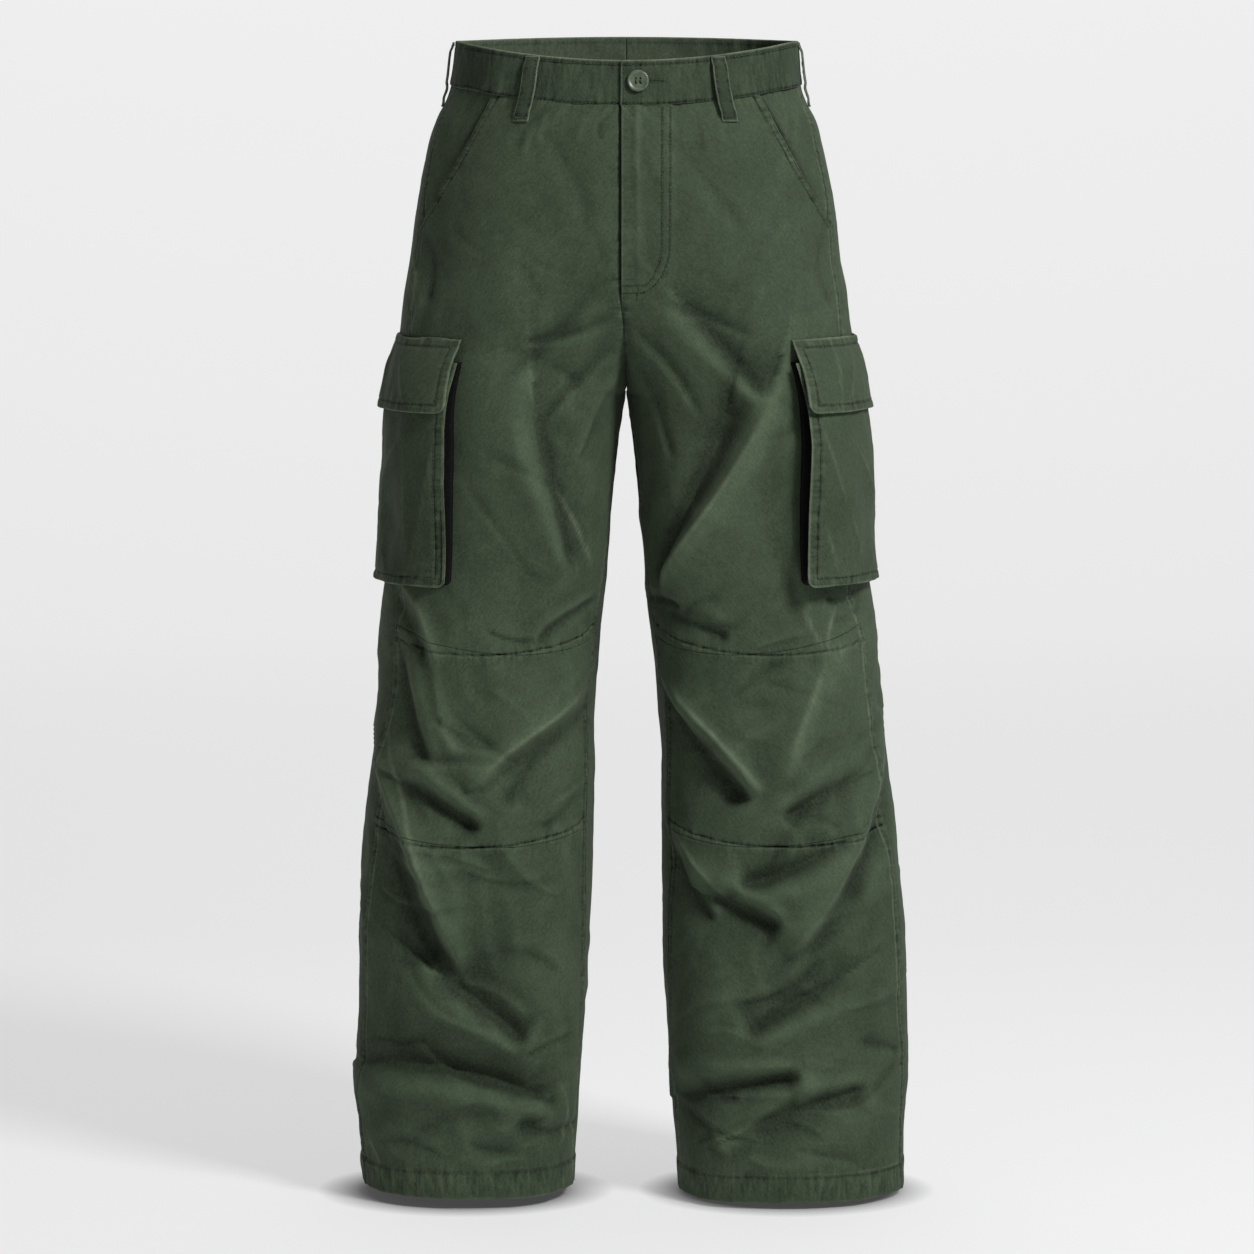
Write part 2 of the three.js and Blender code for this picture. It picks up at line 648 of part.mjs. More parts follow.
// The pocket's face, standing on the bellows.
function cargoFace(side) {
  const place = (s, t) => {
    const z = mix(cargo.mouth, cargo.foot, s);
    const angle = mix(pocketFront(z), cargo.backAngle, closerAtEnds(t));
    return [z, angle, pocketDepth(angle, z) + 0.5];
  };
  return wallBetween(
    grid(12, 14, (s, t) => {
      const [z, angle, lift] = place(s, t);
      return cloth(side, z, angle, lift + clothWall);
    }),
    grid(12, 14, (s, t) => cloth(side, ...place(s, t))),
  );
}

// The flap: sewn to the leg above the mouth, it bends over the top of the pocket and hangs free.
function cargoFlap(side) {
  const overhang = 2;
  const liftShare = (s) => ease(0.02, 0.3, s);
  const place = (s, t) => {
    const z = mix(cargo.flapTop, cargo.flapFoot, s);
    const angle = mix(mix(cargo.flapAngleTop, cargo.flapAngleFoot, s), cargo.backAngle - overhang, closerAtEnds(t));
    const out = pocketDepth(angle, Math.min(z, cargo.mouth)) + seamGap + clothWall + 0.6 + 3.2 * s;
    return [z, angle, mix(lyingGap, out, liftShare(s))];
  };
  return wallBetween(
    grid(10, 14, (s, t) => {
      const [z, angle, lift] = place(s, t);
      return cloth(side, z, angle, lift + flapWall);
    }),
    grid(10, 14, (s, t) => cloth(side, ...place(s, t))),
  );
}

// The button: a turned disc with four drilled holes, facing the front.
async function buttonGeometry() {
  const wasm = await Module();
  wasm.setup();
  const profile = [
    [0, 0],
    [button.radius - 1, 0],
    [button.radius, 0.9],
    [button.radius, button.thick - 1],
    [button.radius - 0.8, button.thick],
    [button.radius - button.rim + 0.4, button.thick],
    [button.radius - button.rim - 0.6, button.thick - button.dish],
    [0, button.thick - button.dish],
  ].map(([r, h]) => new THREE.Vector2(r, h));
  const asSolid = (geometry) => {
    const merged = mergedByPlace(geometry);
    return new wasm.Manifold(new wasm.Mesh({ numProp: 3, ...merged }));
  };
  let disc = asSolid(new THREE.LatheGeometry(profile, 28));
  for (const [dx, dz] of [[1, 1], [-1, 1], [1, -1], [-1, -1]]) {
    const drill = new THREE.CylinderGeometry(button.hole, button.hole, 4 * button.thick, 10);
    drill.translate(dx * button.spread, 0, dz * button.spread);
    disc = disc.subtract(asSolid(drill));
  }
  const mesh = disc.getMesh();
  const geometry = new THREE.BufferGeometry();
  geometry.setAttribute("position", new THREE.BufferAttribute(mesh.vertProperties, 3));
  geometry.setIndex(new THREE.BufferAttribute(mesh.triVerts, 1));
  return geometry;
}

// The vertices of a closed geometry with those in one place made one.
function mergedByPlace(geometry) {
  const position = geometry.getAttribute("position");
  const index = geometry.index;
  const found = new Map();
  const vertices = [];
  const renumbered = [];
  for (let i = 0; i < position.count; i += 1) {
    const p = [position.getX(i), position.getY(i), position.getZ(i)];
    const key = p.map((v) => Math.round(v * 1e4)).join(" ");
    if (!found.has(key)) {
      found.set(key, vertices.length / 3);
      vertices.push(...p);
    }
    renumbered.push(found.get(key));
  }
  const triangles = [];
  for (let i = 0; i < index.count; i += 3) {
    const t = [0, 1, 2].map((k) => renumbered[index.getX(i + k)]);
    if (new Set(t).size === 3) triangles.push(...t);
  }
  return { vertProperties: new Float32Array(vertices), triVerts: new Uint32Array(triangles) };
}

const trousers = new THREE.Group();

function add(name, geometry, color = green.cloth, roughness = 0.9) {
  const mesh = new THREE.Mesh(geometry, new THREE.MeshStandardMaterial({ color, roughness, metalness: 0 }));
  mesh.name = name;
  trousers.add(mesh);
  return mesh;
}

for (const [side, word] of [[1, "left"], [-1, "right"]]) {
  add(`front_upper_${word}`, frontPanel(side, firstRow.upper, firstRow.knee, 12));
  add(`front_knee_${word}`, frontPanel(side, firstRow.knee, firstRow.lower, 12));
  add(`front_lower_${word}`, frontPanel(side, firstRow.lower, firstRow.end, 12));
  add(`back_${word}`, backPanel(side, 12));
  add(`hip_facing_${word}`, hipFacing(side));
  add(`cargo_bellows_${word}`, cargoBellows(side));
  add(`cargo_face_${word}`, cargoFace(side));
  add(`cargo_flap_${word}`, cargoFlap(side));
}

const flyEnd = 90 + 1.75;
const underEnd = 78;
const backSeam = 0.06;
add(
  "waistband_left",
  waistbandHalf(flyEnd, -90 + backSeam, (a) => bandLift + bandOverlap.onTop * ease(60, 78, a), 3, 22),
  green.band,
);
add(
  "waistband_right",
  waistbandHalf(
    underEnd,
    270 - backSeam,
    (a) => mix(bandLift + bandOverlap.under, bandLift, ease(flyEnd + 1, flyEnd + bandOverlap.blend, a)),
    3,
    24,
  ),
  green.band,
);
add("fly", flyPiece(12, 3));
for (const [name, loop] of Object.entries(loops)) add(name, beltLoop(loop), green.band);

const buttonMesh = add("button", await buttonGeometry(), green.button, 0.45);
const seat = waist(90 - Math.asin(button.x / outer(1, button.z)) / radians, button.z, bandLift + bandOverlap.onTop);
buttonMesh.rotation.x = Math.PI - button.tilt * radians;
buttonMesh.position.set(button.x, seat.y - 0.5, button.z);

export default trousers;
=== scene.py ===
# Wide-legged cargo trousers in green cotton twill, filled out as worn, in front of a pale studio sweep.
# Sizes are millimetres until a mesh is made; the front faces -Y and +X is the wearer's left.
import functools
import math

import bmesh
import bpy
import numpy as np
from mathutils import Matrix, Vector


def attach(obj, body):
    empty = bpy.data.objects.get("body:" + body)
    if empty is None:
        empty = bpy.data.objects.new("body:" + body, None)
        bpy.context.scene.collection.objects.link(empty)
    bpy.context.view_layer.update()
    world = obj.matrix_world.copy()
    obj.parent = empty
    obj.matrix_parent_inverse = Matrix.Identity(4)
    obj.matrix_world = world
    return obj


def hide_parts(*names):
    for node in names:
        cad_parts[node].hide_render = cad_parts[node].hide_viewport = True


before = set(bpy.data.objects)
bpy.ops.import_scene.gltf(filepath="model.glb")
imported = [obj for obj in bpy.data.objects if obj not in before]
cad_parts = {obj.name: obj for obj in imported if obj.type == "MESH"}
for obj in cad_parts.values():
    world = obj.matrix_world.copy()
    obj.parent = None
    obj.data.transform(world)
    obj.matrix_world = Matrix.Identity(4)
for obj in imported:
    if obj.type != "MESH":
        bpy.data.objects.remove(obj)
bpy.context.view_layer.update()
radians = math.pi / 180


# Camera: a long lens at waist height, tipped down a little, as in the photograph.
photoCamera = {
    "aim": (0.0, 0.0, -0.527),
    "distance": 5.0,
    "tiltDown": 5.8,
    "sensor": 36.0,
    "lens": 159.5,
    "shiftX": 0.0008,
}


def makeCamera(values):
    lensData = bpy.data.cameras.new("studioCamera")
    camera = bpy.data.objects.new("studioCamera", lensData)
    bpy.context.scene.collection.objects.link(camera)
    tilt = values["tiltDown"] * radians
    aim = Vector(values["aim"])
    back = Vector((0, -math.cos(tilt), math.sin(tilt)))
    camera.location = aim + back * values["distance"]
    camera.rotation_mode = "QUATERNION"
    camera.rotation_quaternion = (-back).to_track_quat("-Z", "Y")
    lensData.sensor_width = values["sensor"]
    lensData.lens = values["lens"]
    lensData.shift_x = values["shiftX"]
    lensData.clip_start = 0.1
    lensData.clip_end = 60
    bpy.context.scene.camera = camera


makeCamera(photoCamera)


# The outline from the front, and the form in depth, by height.
def table(columns, rows):
    data = np.array(rows, float)
    return {name: data[:, i] for i, name in enumerate(columns.split())}


outline = table("z outerRight outerLeft innerRight innerLeft", [
    [12, 150, 150, 4.5, -4.5],
    [-3, 151, 151, 4.5, -4.5],
    [-43, 156, 156, 4.5, -4.5],
    [-58, 161.5, 161.5, 4.5, -4.5],
    [-73, 169, 169, 4.5, -4.5],
    [-90, 175, 173.5, 4.5, -4.5],
    [-144, 185.5, 185, 4.5, -4.5],
    [-197, 193, 192, 4.5, -4.5],
    [-226, 198.5, 197.5, 4, -4],
    [-260, 202, 201.5, 2, -2],
    [-314, 206, 205.5, 0.8, 0.8],
    [-330, 207.5, 207, 3, 3],
    [-358, 209.5, 209, 7, 6.5],
    [-412, 211.5, 211, 11.7, 11],
    [-466, 215, 215, 16, 15.5],
    [-503, 220.5, 221, 20.5, 19],
    [-539, 223.5, 226, 25, 23.5],
    [-593, 224.5, 230.5, 28.5, 27.5],
    [-648, 230, 235.5, 29, 30.5],
    [-720, 237, 244, 30, 31.5],
    [-793, 241, 251.5, 31.7, 32.7],
    [-866, 243, 253.5, 36, 35.5],
    [-921, 247.5, 256, 40, 37.5],
    [-959, 245, 253.5, 42.5, 40],
    [-996, 241.5, 251.5, 45.5, 44.5],
    [-1040, 238, 251, 48, 48],
])
form = table("z crown front back sideSeam inseam", [
    [12, 6, 101, 104, 10, 94],
    [-43, 6, 109, 113, 11, 94],
    [-58, 6, 111, 117, 12, 94],
    [-90, 12, 114, 126, 13, 97],
    [-144, 28, 117, 139, 14, 104],
    [-197, 48, 118, 146, 18, 115],
    [-226, 62, 118, 147, 20, 125],
    [-260, 80, 117, 146, 22, 142],
    [-314, 103, 115, 140, 27, 180],
    [-358, 107, 112, 132, 30, 176],
    [-412, 111, 109, 122, 32, 171],
    [-466, 116, 106, 112, 34, 166],
    [-539, 123, 102, 101, 31, 163],
    [-648, 130, 97, 96, 25, 161],
    [-720, 134, 94, 96, 22, 160],
    [-793, 138, 93, 97, 21, 162],
    [-866, 140, 92, 98, 20, 165],
    [-959, 142, 92, 98, 15, 168],
    [-1040, 142, 93, 98, 11, 170],
])
lines = {
    "squareness": 0.12, "innerSquareness": 0.4,
    "topAtHip": -2, "frontDip": 17, "backRaise": 4, "bandHeight": 40,
    "flyFoot": -223, "valleyTop": -205, "crotch": -314,
    "kneeTopInseam": -530, "kneeTopSide": -516, "kneeFootInseam": -700, "kneeFootSide": -692, "kneeDip": 18,
    "hemRight": -1031, "hemLeft": -1035, "hemHeight": 25,
    "slantTopX": 118, "slantTopZ": -52, "slantFootZ": -168,
    "halfGap": 0.15, "underLap": 1.6, "intoBand": 1.0,
}


# A smooth value of one column, for heights (or angles) in falling order.
def valueAt(tab, column, where, key="z"):
    keys = tab[key]
    values = tab[column]
    where = np.clip(np.asarray(where, float), keys[-1], keys[0])
    i = np.clip(np.searchsorted(-keys, -where, side="right") - 1, 0, len(keys) - 2)
    slopes = np.empty(len(keys))
    slopes[1:-1] = (values[2:] - values[:-2]) / (keys[2:] - keys[:-2])
    slopes[0] = (values[1] - values[0]) / (keys[1] - keys[0])
    slopes[-1] = (values[-1] - values[-2]) / (keys[-1] - keys[-2])
    span = keys[i + 1] - keys[i]
    s = (where - keys[i]) / span
    h0 = 1 - 3 * s ** 2 + 2 * s ** 3
    h1 = s * (1 - s) ** 2
    h2 = 3 * s ** 2 - 2 * s ** 3
    h3 = s * s * (s - 1)
    return h0 * values[i] + h1 * span * slopes[i] + h2 * values[i + 1] + h3 * span * slopes[i + 1]


def outerAt(side, z):
    return valueAt(outline, "outerLeft" if side > 0 else "outerRight", z)


# The right half laps under the left one along the centre seams, so that no light comes through.
def innerAt(side, z):
    inner = valueAt(outline, "innerLeft" if side > 0 else "innerRight", z) + lines["halfGap"]
    if side < 0:
        inner = inner - lines["underLap"] * ease(lines["crotch"], lines["crotch"] + 6, z)
    return inner


def hemAt(side):
    return lines["hemLeft"] if side > 0 else lines["hemRight"]


def mix(a, b, t):
    return a + (b - a) * t


def ease(start, end, value):
    s = np.clip((value - start) / (end - start), 0, 1)
    return s * s * (3 - 2 * s)


def bump(distance, width):
    return np.exp(-(distance / width) ** 2)


def highest(*values):
    return functools.reduce(np.maximum, values)


# A point on a section of one leg, level with z. The angle is 0 at the side, 90 at the front, -90 at the back.
def section(side, z, angle):
    z, angle = np.broadcast_arrays(np.asarray(z, float), np.asarray(angle, float))
    crown = valueAt(form, "crown", z)
    gap = innerAt(side, z)
    wrapped = np.where(angle < -180, angle + 360, angle)
    front = wrapped >= 0
    depth = np.where(front, valueAt(form, "front", z), valueAt(form, "back", z))
    turn = np.abs(wrapped) * radians
    square = lines["squareness"]
    x = crown + (outerAt(side, z) - crown) * np.cos(turn)
    y = depth * np.sin(turn) * (1 + square * np.cos(turn) ** 2)
    end = np.where(z > lines["crotch"], valueAt(form, "inseam", z), 180.0)
    v = 90 * radians * (turn / radians - 90) / (end - 90)
    s = np.clip((lines["valleyTop"] - z) / (lines["valleyTop"] - lines["crotch"]), 0, 1)
    keep = np.maximum(0, 1 - s * s) ** np.where(front, 0.7, 0.75)
    xIn = gap + (crown - gap) * (1 - np.sin(v))
    fuller = lines["innerSquareness"] * (1 - keep)
    yIn = depth * (keep + (1 - keep) * np.cos(v) * (1 + fuller * np.sin(v) ** 2))
    inner = turn > 90 * radians
    x = np.where(inner, xIn, x)
    y = np.where(inner, yIn, y)
    return side * x, np.where(front, -y, y)


def aroundAngle(z, angle, step):
    end = np.where(z > lines["crotch"], valueAt(form, "inseam", z), 360.0)
    return np.maximum(angle - step, -end), np.minimum(angle + step, end)


# The level direction out of a leg, as a grid of vectors.
def outwardOf(side, z, angle):
    low, high = aroundAngle(z, angle, 0.5)
    ax, ay = section(side, z, low)
    bx, by = section(side, z, high)
    dx, dy = bx - ax, by - ay
    size = np.hypot(dx, dy) + 1e-9
    return np.stack([-side * dy / size, side * dx / size, 0 * dx], -1)


# Distance round each leg from the side, as the cloth lies: the width direction of every panel.
arcHeights = np.linspace(12, -1040, 264)
arcAngles = np.arange(-210, 181, 2.0)


def makeArcTable(side):
    z = arcHeights[:, None]
    limit = np.where(z > lines["crotch"], valueAt(form, "inseam", z), 400.0)
    angle = np.clip(arcAngles[None, :], -limit, limit)
    x, y = section(side, z + 0 * angle, angle)
    steps = np.hypot(np.diff(x, axis=1), np.diff(y, axis=1))
    arc = np.concatenate([np.zeros((len(z), 1)), np.cumsum(steps, axis=1)], axis=1)
    return arc - arc[:, [int(np.argmin(np.abs(arcAngles)))]]


arcTables = {side: makeArcTable(side) for side in (1, -1)}


def arcAt(side, z, angle):
    z, angle = np.broadcast_arrays(np.asarray(z, float), np.asarray(angle, float))
    data = arcTables[side]
    i = np.clip((arcHeights[0] - z) / (arcHeights[0] - arcHeights[1]), 0, len(arcHeights) - 1.001)
    j = np.clip((angle - arcAngles[0]) / 2.0, 0, len(arcAngles) - 1.001)
    i0, j0 = i.astype(int), j.astype(int)
    fi, fj = i - i0, j - j0
    top = mix(data[i0, j0], data[i0, j0 + 1], fj)
    foot = mix(data[i0 + 1, j0], data[i0 + 1, j0 + 1], fj)
    return mix(top, foot, fi)


# The front angle at which a section lies x out from the centre line.
def angleOfX(side, z, x):
    z, x = np.broadcast_arrays(np.asarray(z, float), np.asarray(x, float))
    crown = valueAt(form, "crown", z)
    gap = innerAt(side, z)
    outward = np.arccos(np.clip((x - crown) / (outerAt(side, z) - crown), -1, 1)) / radians
    v = np.arcsin(np.clip(1 - (x - gap) / (crown - gap), -1, 1)) / radians
    end = np.where(z > lines["crotch"], valueAt(form, "inseam", z), 180.0)
    return np.where(x >= crown, outward, 90 + v * (end - 90) / 90)


# Smooth noise from a fixed table of values, so that each run gives the same cloth.
noiseValues = np.random.RandomState(41).uniform(-1, 1, (128, 128))


def noise(u, v, shift=0):
    u = np.asarray(u, float) + 17.3 * shift
    v = np.asarray(v, float) + 9.1 * shift
    i, j = np.floor(u).astype(int), np.floor(v).astype(int)
    fu, fv = u - i, v - j
    fu, fv = fu * fu * (3 - 2 * fu), fv * fv * (3 - 2 * fv)
    a = noiseValues[i % 128, j % 128]
    b = noiseValues[(i + 1) % 128, j % 128]
    c = noiseValues[i % 128, (j + 1) % 128]
    d = noiseValues[(i + 1) % 128, (j + 1) % 128]
    return mix(mix(a, b, fu), mix(c, d, fu), fv)


# Folds, each through three points of the front view: the height is outwards, a hollow is negative,
# and the widths are to the left and to the right of the way it runs.
foldColumns = "side x0 z0 x1 z1 x2 z2 height left right"
frontFolds = table(foldColumns, [
    [-1, -93, -264, -78, -361, -52, -472, 3, 25, 36],  # hip to inner knee
    [-1, -78, -325, -62, -395, -44, -472, -9, 38, 10],
    [-1, -111, -269, -71, -282, -30, -310, -4, 16, 16],
    [-1, -76, -530, -51, -509, -25, -496, -6, 6, 5],  # tuck above the knee seam
    [-1, -80, -524, -54, -503, -27, -489, 3.5, 5, 8],
    [-1, -199, -480, -182, -504, -164, -554, 6, 12, 9],
    [-1, -205, -494, -193, -519, -175, -549, -5, 9, 9],
    [-1, -202, -543, -193, -591, -172, -643, -9, 9, 30],
    [-1, -167, -538, -164, -583, -151, -638, 5, 12, 12],
    [-1, -37, -574, -98, -623, -140, -665, 7, 8, 26],  # knee diagonal
    [-1, -35, -593, -81, -638, -107, -682, -6, 18, 14],
    [-1, -200, -656, -167, -675, -128, -702, -12, 9, 26],
    [-1, -43, -672, -56, -686, -76, -700, -4, 7, 7],
    [-1, -223, -638, -197, -700, -142, -833, 13, 36, 11],  # outer fold, knee to shin
    [-1, -211, -725, -194, -770, -165, -822, -10, 11, 34],
    [-1, -160, -835, -123, -862, -85, -894, -12, 34, 10],
    [-1, -244, -918, -159, -916, -53, -956, -15, 32, 11],  # break over the foot
    [-1, -108, -968, -84, -949, -62, -942, 6, 8, 8],
    [-1, -87, -965, -65, -974, -43, -972, -7, 7, 7],
    [-1, -75, -80, -49, -115, -30, -163, -1.5, 18, 9],
    [-1, -190, -205, -182, -232, -190, -262, 4, 8, 9],  # crumple above the flap
    [-1, -178, -170, -170, -200, -176, -236, -4, 10, 10],
    [-1, -28, -215, -60, -255, -110, -300, -3, 10, 14],
    [1, 58, -240, 88, -275, 124, -317, -7, 26, 8],
    [1, 125, -315, 85, -391, 30, -499, 11, 40, 12],  # thigh to inner knee
    [1, 88, -332, 58, -398, 26, -478, -11, 13, 34],
    [1, 18, -499, 33, -495, 47, -502, -6, 4, 5],  # tuck above the knee seam
    [1, 34, -505, 61, -515, 92, -530, -6, 9, 10],
    [1, 153, -343, 144, -423, 166, -519, 3, 18, 9],
    [1, 191, -529, 163, -588, 138, -664, 8, 22, 20],
    [1, 34, -565, 78, -615, 121, -673, 6, 20, 12],
    [1, 35, -588, 66, -629, 112, -677, -13, 9, 32],
    [1, 200, -657, 170, -672, 138, -691, -9, 22, 9],
    [1, 228, -640, 192, -733, 143, -817, 12, 12, 34],  # outer fold, knee to shin
    [1, 231, -682, 218, -725, 199, -768, -7, 10, 22],
    [1, 190, -713, 146, -736, 98, -751, -11, 9, 24],
    [1, 44, -706, 66, -734, 91, -762, 5, 20, 10],
    [1, 39, -718, 55, -754, 76, -786, -8, 9, 26],
    [1, 76, -761, 108, -774, 140, -787, -12, 9, 26],
    [1, 187, -836, 146, -860, 105, -886, -10, 9, 28],
    [1, 46, -945, 100, -930, 159, -921, -14, 10, 28],  # break over the foot
    [1, 158, -929, 109, -965, 80, -992, 5, 12, 18],
    [1, 111, -968, 162, -949, 221, -933, -10, 10, 22],
    [1, 212, -891, 230, -897, 248, -905, -6, 7, 7],
    [1, 40, -86, 67, -120, 105, -173, -1.5, 17, 9],
    [1, 14, -262, 40, -290, 66, -334, -3, 9, 4],  # whiskers from the crotch
    [1, 12, -292, 27, -325, 38, -372, -3, 9, 4],
    [1, 34, -232, 72, -244, 114, -262, -2.5, 9, 4],
    [-1, -14, -244, -50, -258, -96, -266, -3, 4, 9],
    [-1, -12, -272, -40, -298, -76, -340, -3, 4, 9],
    [-1, -10, -298, -28, -330, -44, -374, 3, 4, 9],
    [1, 176, -168, 172, -205, 184, -240, -3, 10, 10],
    [1, 207, -490, 190, -496, 176, -490, -4, 5, 5],
])
backFolds = table(foldColumns, [
    [-1, -20, -300, -80, -345, -150, -362, -8, 16, 22],  # under the seat
    [-1, -12, -270, -60, -290, -120, -296, -4, 12, 14],
    [-1, -30, -120, -70, -150, -95, -200, -3, 18, 18],
    [-1, -195, -560, -130, -600, -52, -590, -10, 15, 20],  # behind the knee
    [-1, -60, -622, -110, -640, -170, -632, 6, 10, 18],
    [-1, -60, -655, -120, -672, -190, -650, 9, 18, 22],
    [-1, -215, -700, -160, -735, -90, -742, -9, 14, 20],
    [-1, -60, -780, -110, -800, -170, -792, -6, 12, 16],
    [-1, -70, -880, -140, -905, -215, -890, -12, 14, 20],
    [-1, -55, -948, -110, -962, -180, -950, -6, 10, 14],
    [-1, -150, -420, -165, -480, -150, -540, 5, 16, 16],
    [1, 18, -300, 85, -350, 158, -360, -8, 22, 16],
    [1, 12, -268, 58, -288, 118, -300, -4, 14, 12],
    [1, 30, -125, 68, -150, 95, -205, -3, 18, 18],
    [1, 60, -585, 130, -605, 200, -575, -10, 20, 15],
    [1, 70, -640, 120, -632, 180, -618, 6, 18, 10],
    [1, 205, -652, 140, -668, 75, -650, 9, 22, 18],
    [1, 80, -722, 150, -748, 220, -722, -9, 20, 14],
    [1, 70, -790, 120, -806, 175, -786, -6, 16, 12],
    [1, 60, -905, 140, -925, 225, -898, -12, 20, 14],
    [1, 70, -958, 130, -972, 190, -955, -6, 14, 10],
    [1, 150, -420, 168, -480, 152, -540, 5, 16, 16],
])
# Thin creases pressed into the cloth, lighter along their tops, partly as wear and partly as painted light.
creases = table("side x0 z0 x1 z1 x2 z2", [
    [-1, -212, -610, -190, -700, -146, -830],
    [-1, -40, -575, -92, -618, -128, -655],
    [-1, -199, -482, -180, -506, -168, -556],
    [-1, -30, -470, -40, -430, -60, -395],
    [-1, -192, -186, -184, -214, -193, -246],
    [-1, -235, -978, -222, -1003, -228, -1010],
    [-1, -58, -930, -52, -968, -58, -990],
    [1, 118, -330, 84, -393, 34, -495],
    [1, 176, -545, 160, -588, 140, -650],
    [1, 40, -565, 78, -612, 118, -660],
    [1, 222, -598, 229, -640, 146, -812],
    [1, 44, -700, 62, -728, 88, -760],
    [1, 156, -500, 164, -520, 172, -536],
    [1, 186, -500, 178, -520, 176, -545],
])


def foldCurve(side, points, back):
    xs = np.array([points[0], points[2], points[4]]) * side
    zs = np.array([points[1], points[3], points[5]])
    xs = np.clip(xs, innerAt(side, zs) + 0.5, outerAt(side, zs) - 0.5)
    angles = angleOfX(side, zs, xs)
    arcs = arcAt(side, zs, -angles if back else angles)
    t = np.linspace(0, 1, 11)
    b0, b1, b2 = (1 - t) * (1 - 2 * t), 4 * t * (1 - t), t * (2 * t - 1)
    return b0 * arcs[0] + b1 * arcs[1] + b2 * arcs[2], b0 * zs[0] + b1 * zs[1] + b2 * zs[2]


# Distance from a fold's line, which side of it, and how far along it.
def fromCurve(curveArc, curveZ, arc, z):
    best = np.full(arc.shape, 1e9)
    left = np.zeros(arc.shape, bool)
    along = np.zeros(arc.shape)
    count = len(curveArc) - 1
    for k in range(count):
        da, dz = curveArc[k + 1] - curveArc[k], curveZ[k + 1] - curveZ[k]
        t = np.clip(((arc - curveArc[k]) * da + (z - curveZ[k]) * dz) / (da * da + dz * dz), 0, 1)
        ea, ez = arc - curveArc[k] - t * da, z - curveZ[k] - t * dz
        distance = np.hypot(ea, ez)
        nearer = distance < best
        best = np.where(nearer, distance, best)
        left = np.where(nearer, da * ez - dz * ea > 0, left)
        along = np.where(nearer, (k + t) / count, along)
    return best, left, along


foldSets = (("front", frontFolds, False), ("back", backFolds, True), ("crease", creases, False))
foldLines = {}
for foldName, rows, isBack in foldSets:
    for n in range(len(rows["side"])):
        foldSide = int(rows["side"][n])
        ends = [rows[c][n] for c in ("x0", "z0", "x1", "z1", "x2", "z2")]
        foldLines.setdefault((foldName, foldSide), []).append((n, foldCurve(foldSide, ends, isBack)))


# A fold is crisp on its narrow side, with a hollow (or a crest) beyond it, and soft on its wide side.
# It starts broad at a seam and narrows to a short tip.
foldShape = {
    "power": 1.2, "beyond": 0.35, "beyondAt": 2.0, "beyondWidth": 1.1,
    "broad": 1.2, "tip": 0.55, "gain": 1.25, "reach": 3.2,
}
creaseShape = {"height": 0.8, "width": 3.2, "power": 1.3, "markWidth": 1.8, "reach": 9}


def nearCurve(curve, arc, z, reach):
    curveArc, curveZ = curve
    near = (arc > curveArc.min() - reach) & (arc < curveArc.max() + reach)
    return near & (z > curveZ.min() - reach) & (z < curveZ.max() + reach)


def addFold(height, arc, z, curve, rise, left, right):
    v = foldShape
    near = nearCurve(curve, arc, z, v["reach"] * v["broad"] * max(left, right))
    if not near.any():
        return
    distance, isLeft, along = fromCurve(*curve, arc[near], z[near])
    s = distance / (np.where(isLeft, left, right) * mix(v["broad"], v["tip"], along))
    shape = np.exp(-s ** v["power"])
    beyond = v["beyond"] * math.sqrt(1 - min(left, right) / max(left, right))
    onNarrow = isLeft == (left < right)
    shape = shape - np.where(onNarrow, beyond * np.exp(-((s - v["beyondAt"]) / v["beyondWidth"]) ** 2), 0)
    ends = ease(-0.25, 0.2, along) * (1 - ease(0.85, 1.0, along))
    height[near] += v["gain"] * rise * shape * ends


def foldHeights(side, arc, z):
    height = np.zeros(arc.shape)
    mark = np.zeros(arc.shape)
    for name, rows in (("front", frontFolds), ("back", backFolds)):
        for n, curve in foldLines[(name, side)]:
            left, right = rows["left"][n], rows["right"][n]
            if side > 0 and name == "front" or side < 0 and name == "back":
                left, right = right, left  # the way round the leg runs against the view
            addFold(height, arc, z, curve, rows["height"][n], left, right)
    for curve, rise, left, right in smallFolds[side]:
        addFold(height, arc, z, curve, rise, left, right)
    v = creaseShape
    for n, curve in foldLines[("crease", side)]:
        near = nearCurve(curve, arc, z, v["reach"])
        if not near.any():
            continue
        distance, isLeft, along = fromCurve(*curve, arc[near], z[near])
        end = np.sin(np.pi * mix(0.04, 0.96, along))
        height[near] += v["height"] * np.exp(-np.abs(distance / v["width"]) ** v["power"]) * end
        mark[near] = np.maximum(mark[near], bump(distance, v["markWidth"]) * end)
    return height, mark


# Small drag folds, from fixed draws: zones by height, with the slope, size and number that each zone shows.
# The slope is the angle below level at which they run from the side seam inwards.
foldZones = table("top foot count slopeLow slopeHigh lengthLow lengthHigh height width", [
    [-62, -92, 14, 65, 115, 16, 34, 1.7, 3.4],
    [-110, -260, 8, 15, 60, 35, 80, 1.1, 4.0],
    [-285, -480, 9, 25, 75, 45, 110, 1.6, 5.5],
    [-470, -540, 12, -25, 45, 25, 60, 2.4, 4.5],
    [-545, -700, 14, -45, 50, 35, 95, 2.6, 5.5],
    [-705, -880, 16, 5, 65, 40, 110, 2.8, 6.0],
    [-880, -1000, 20, -25, 25, 30, 95, 3.0, 5.0],
])


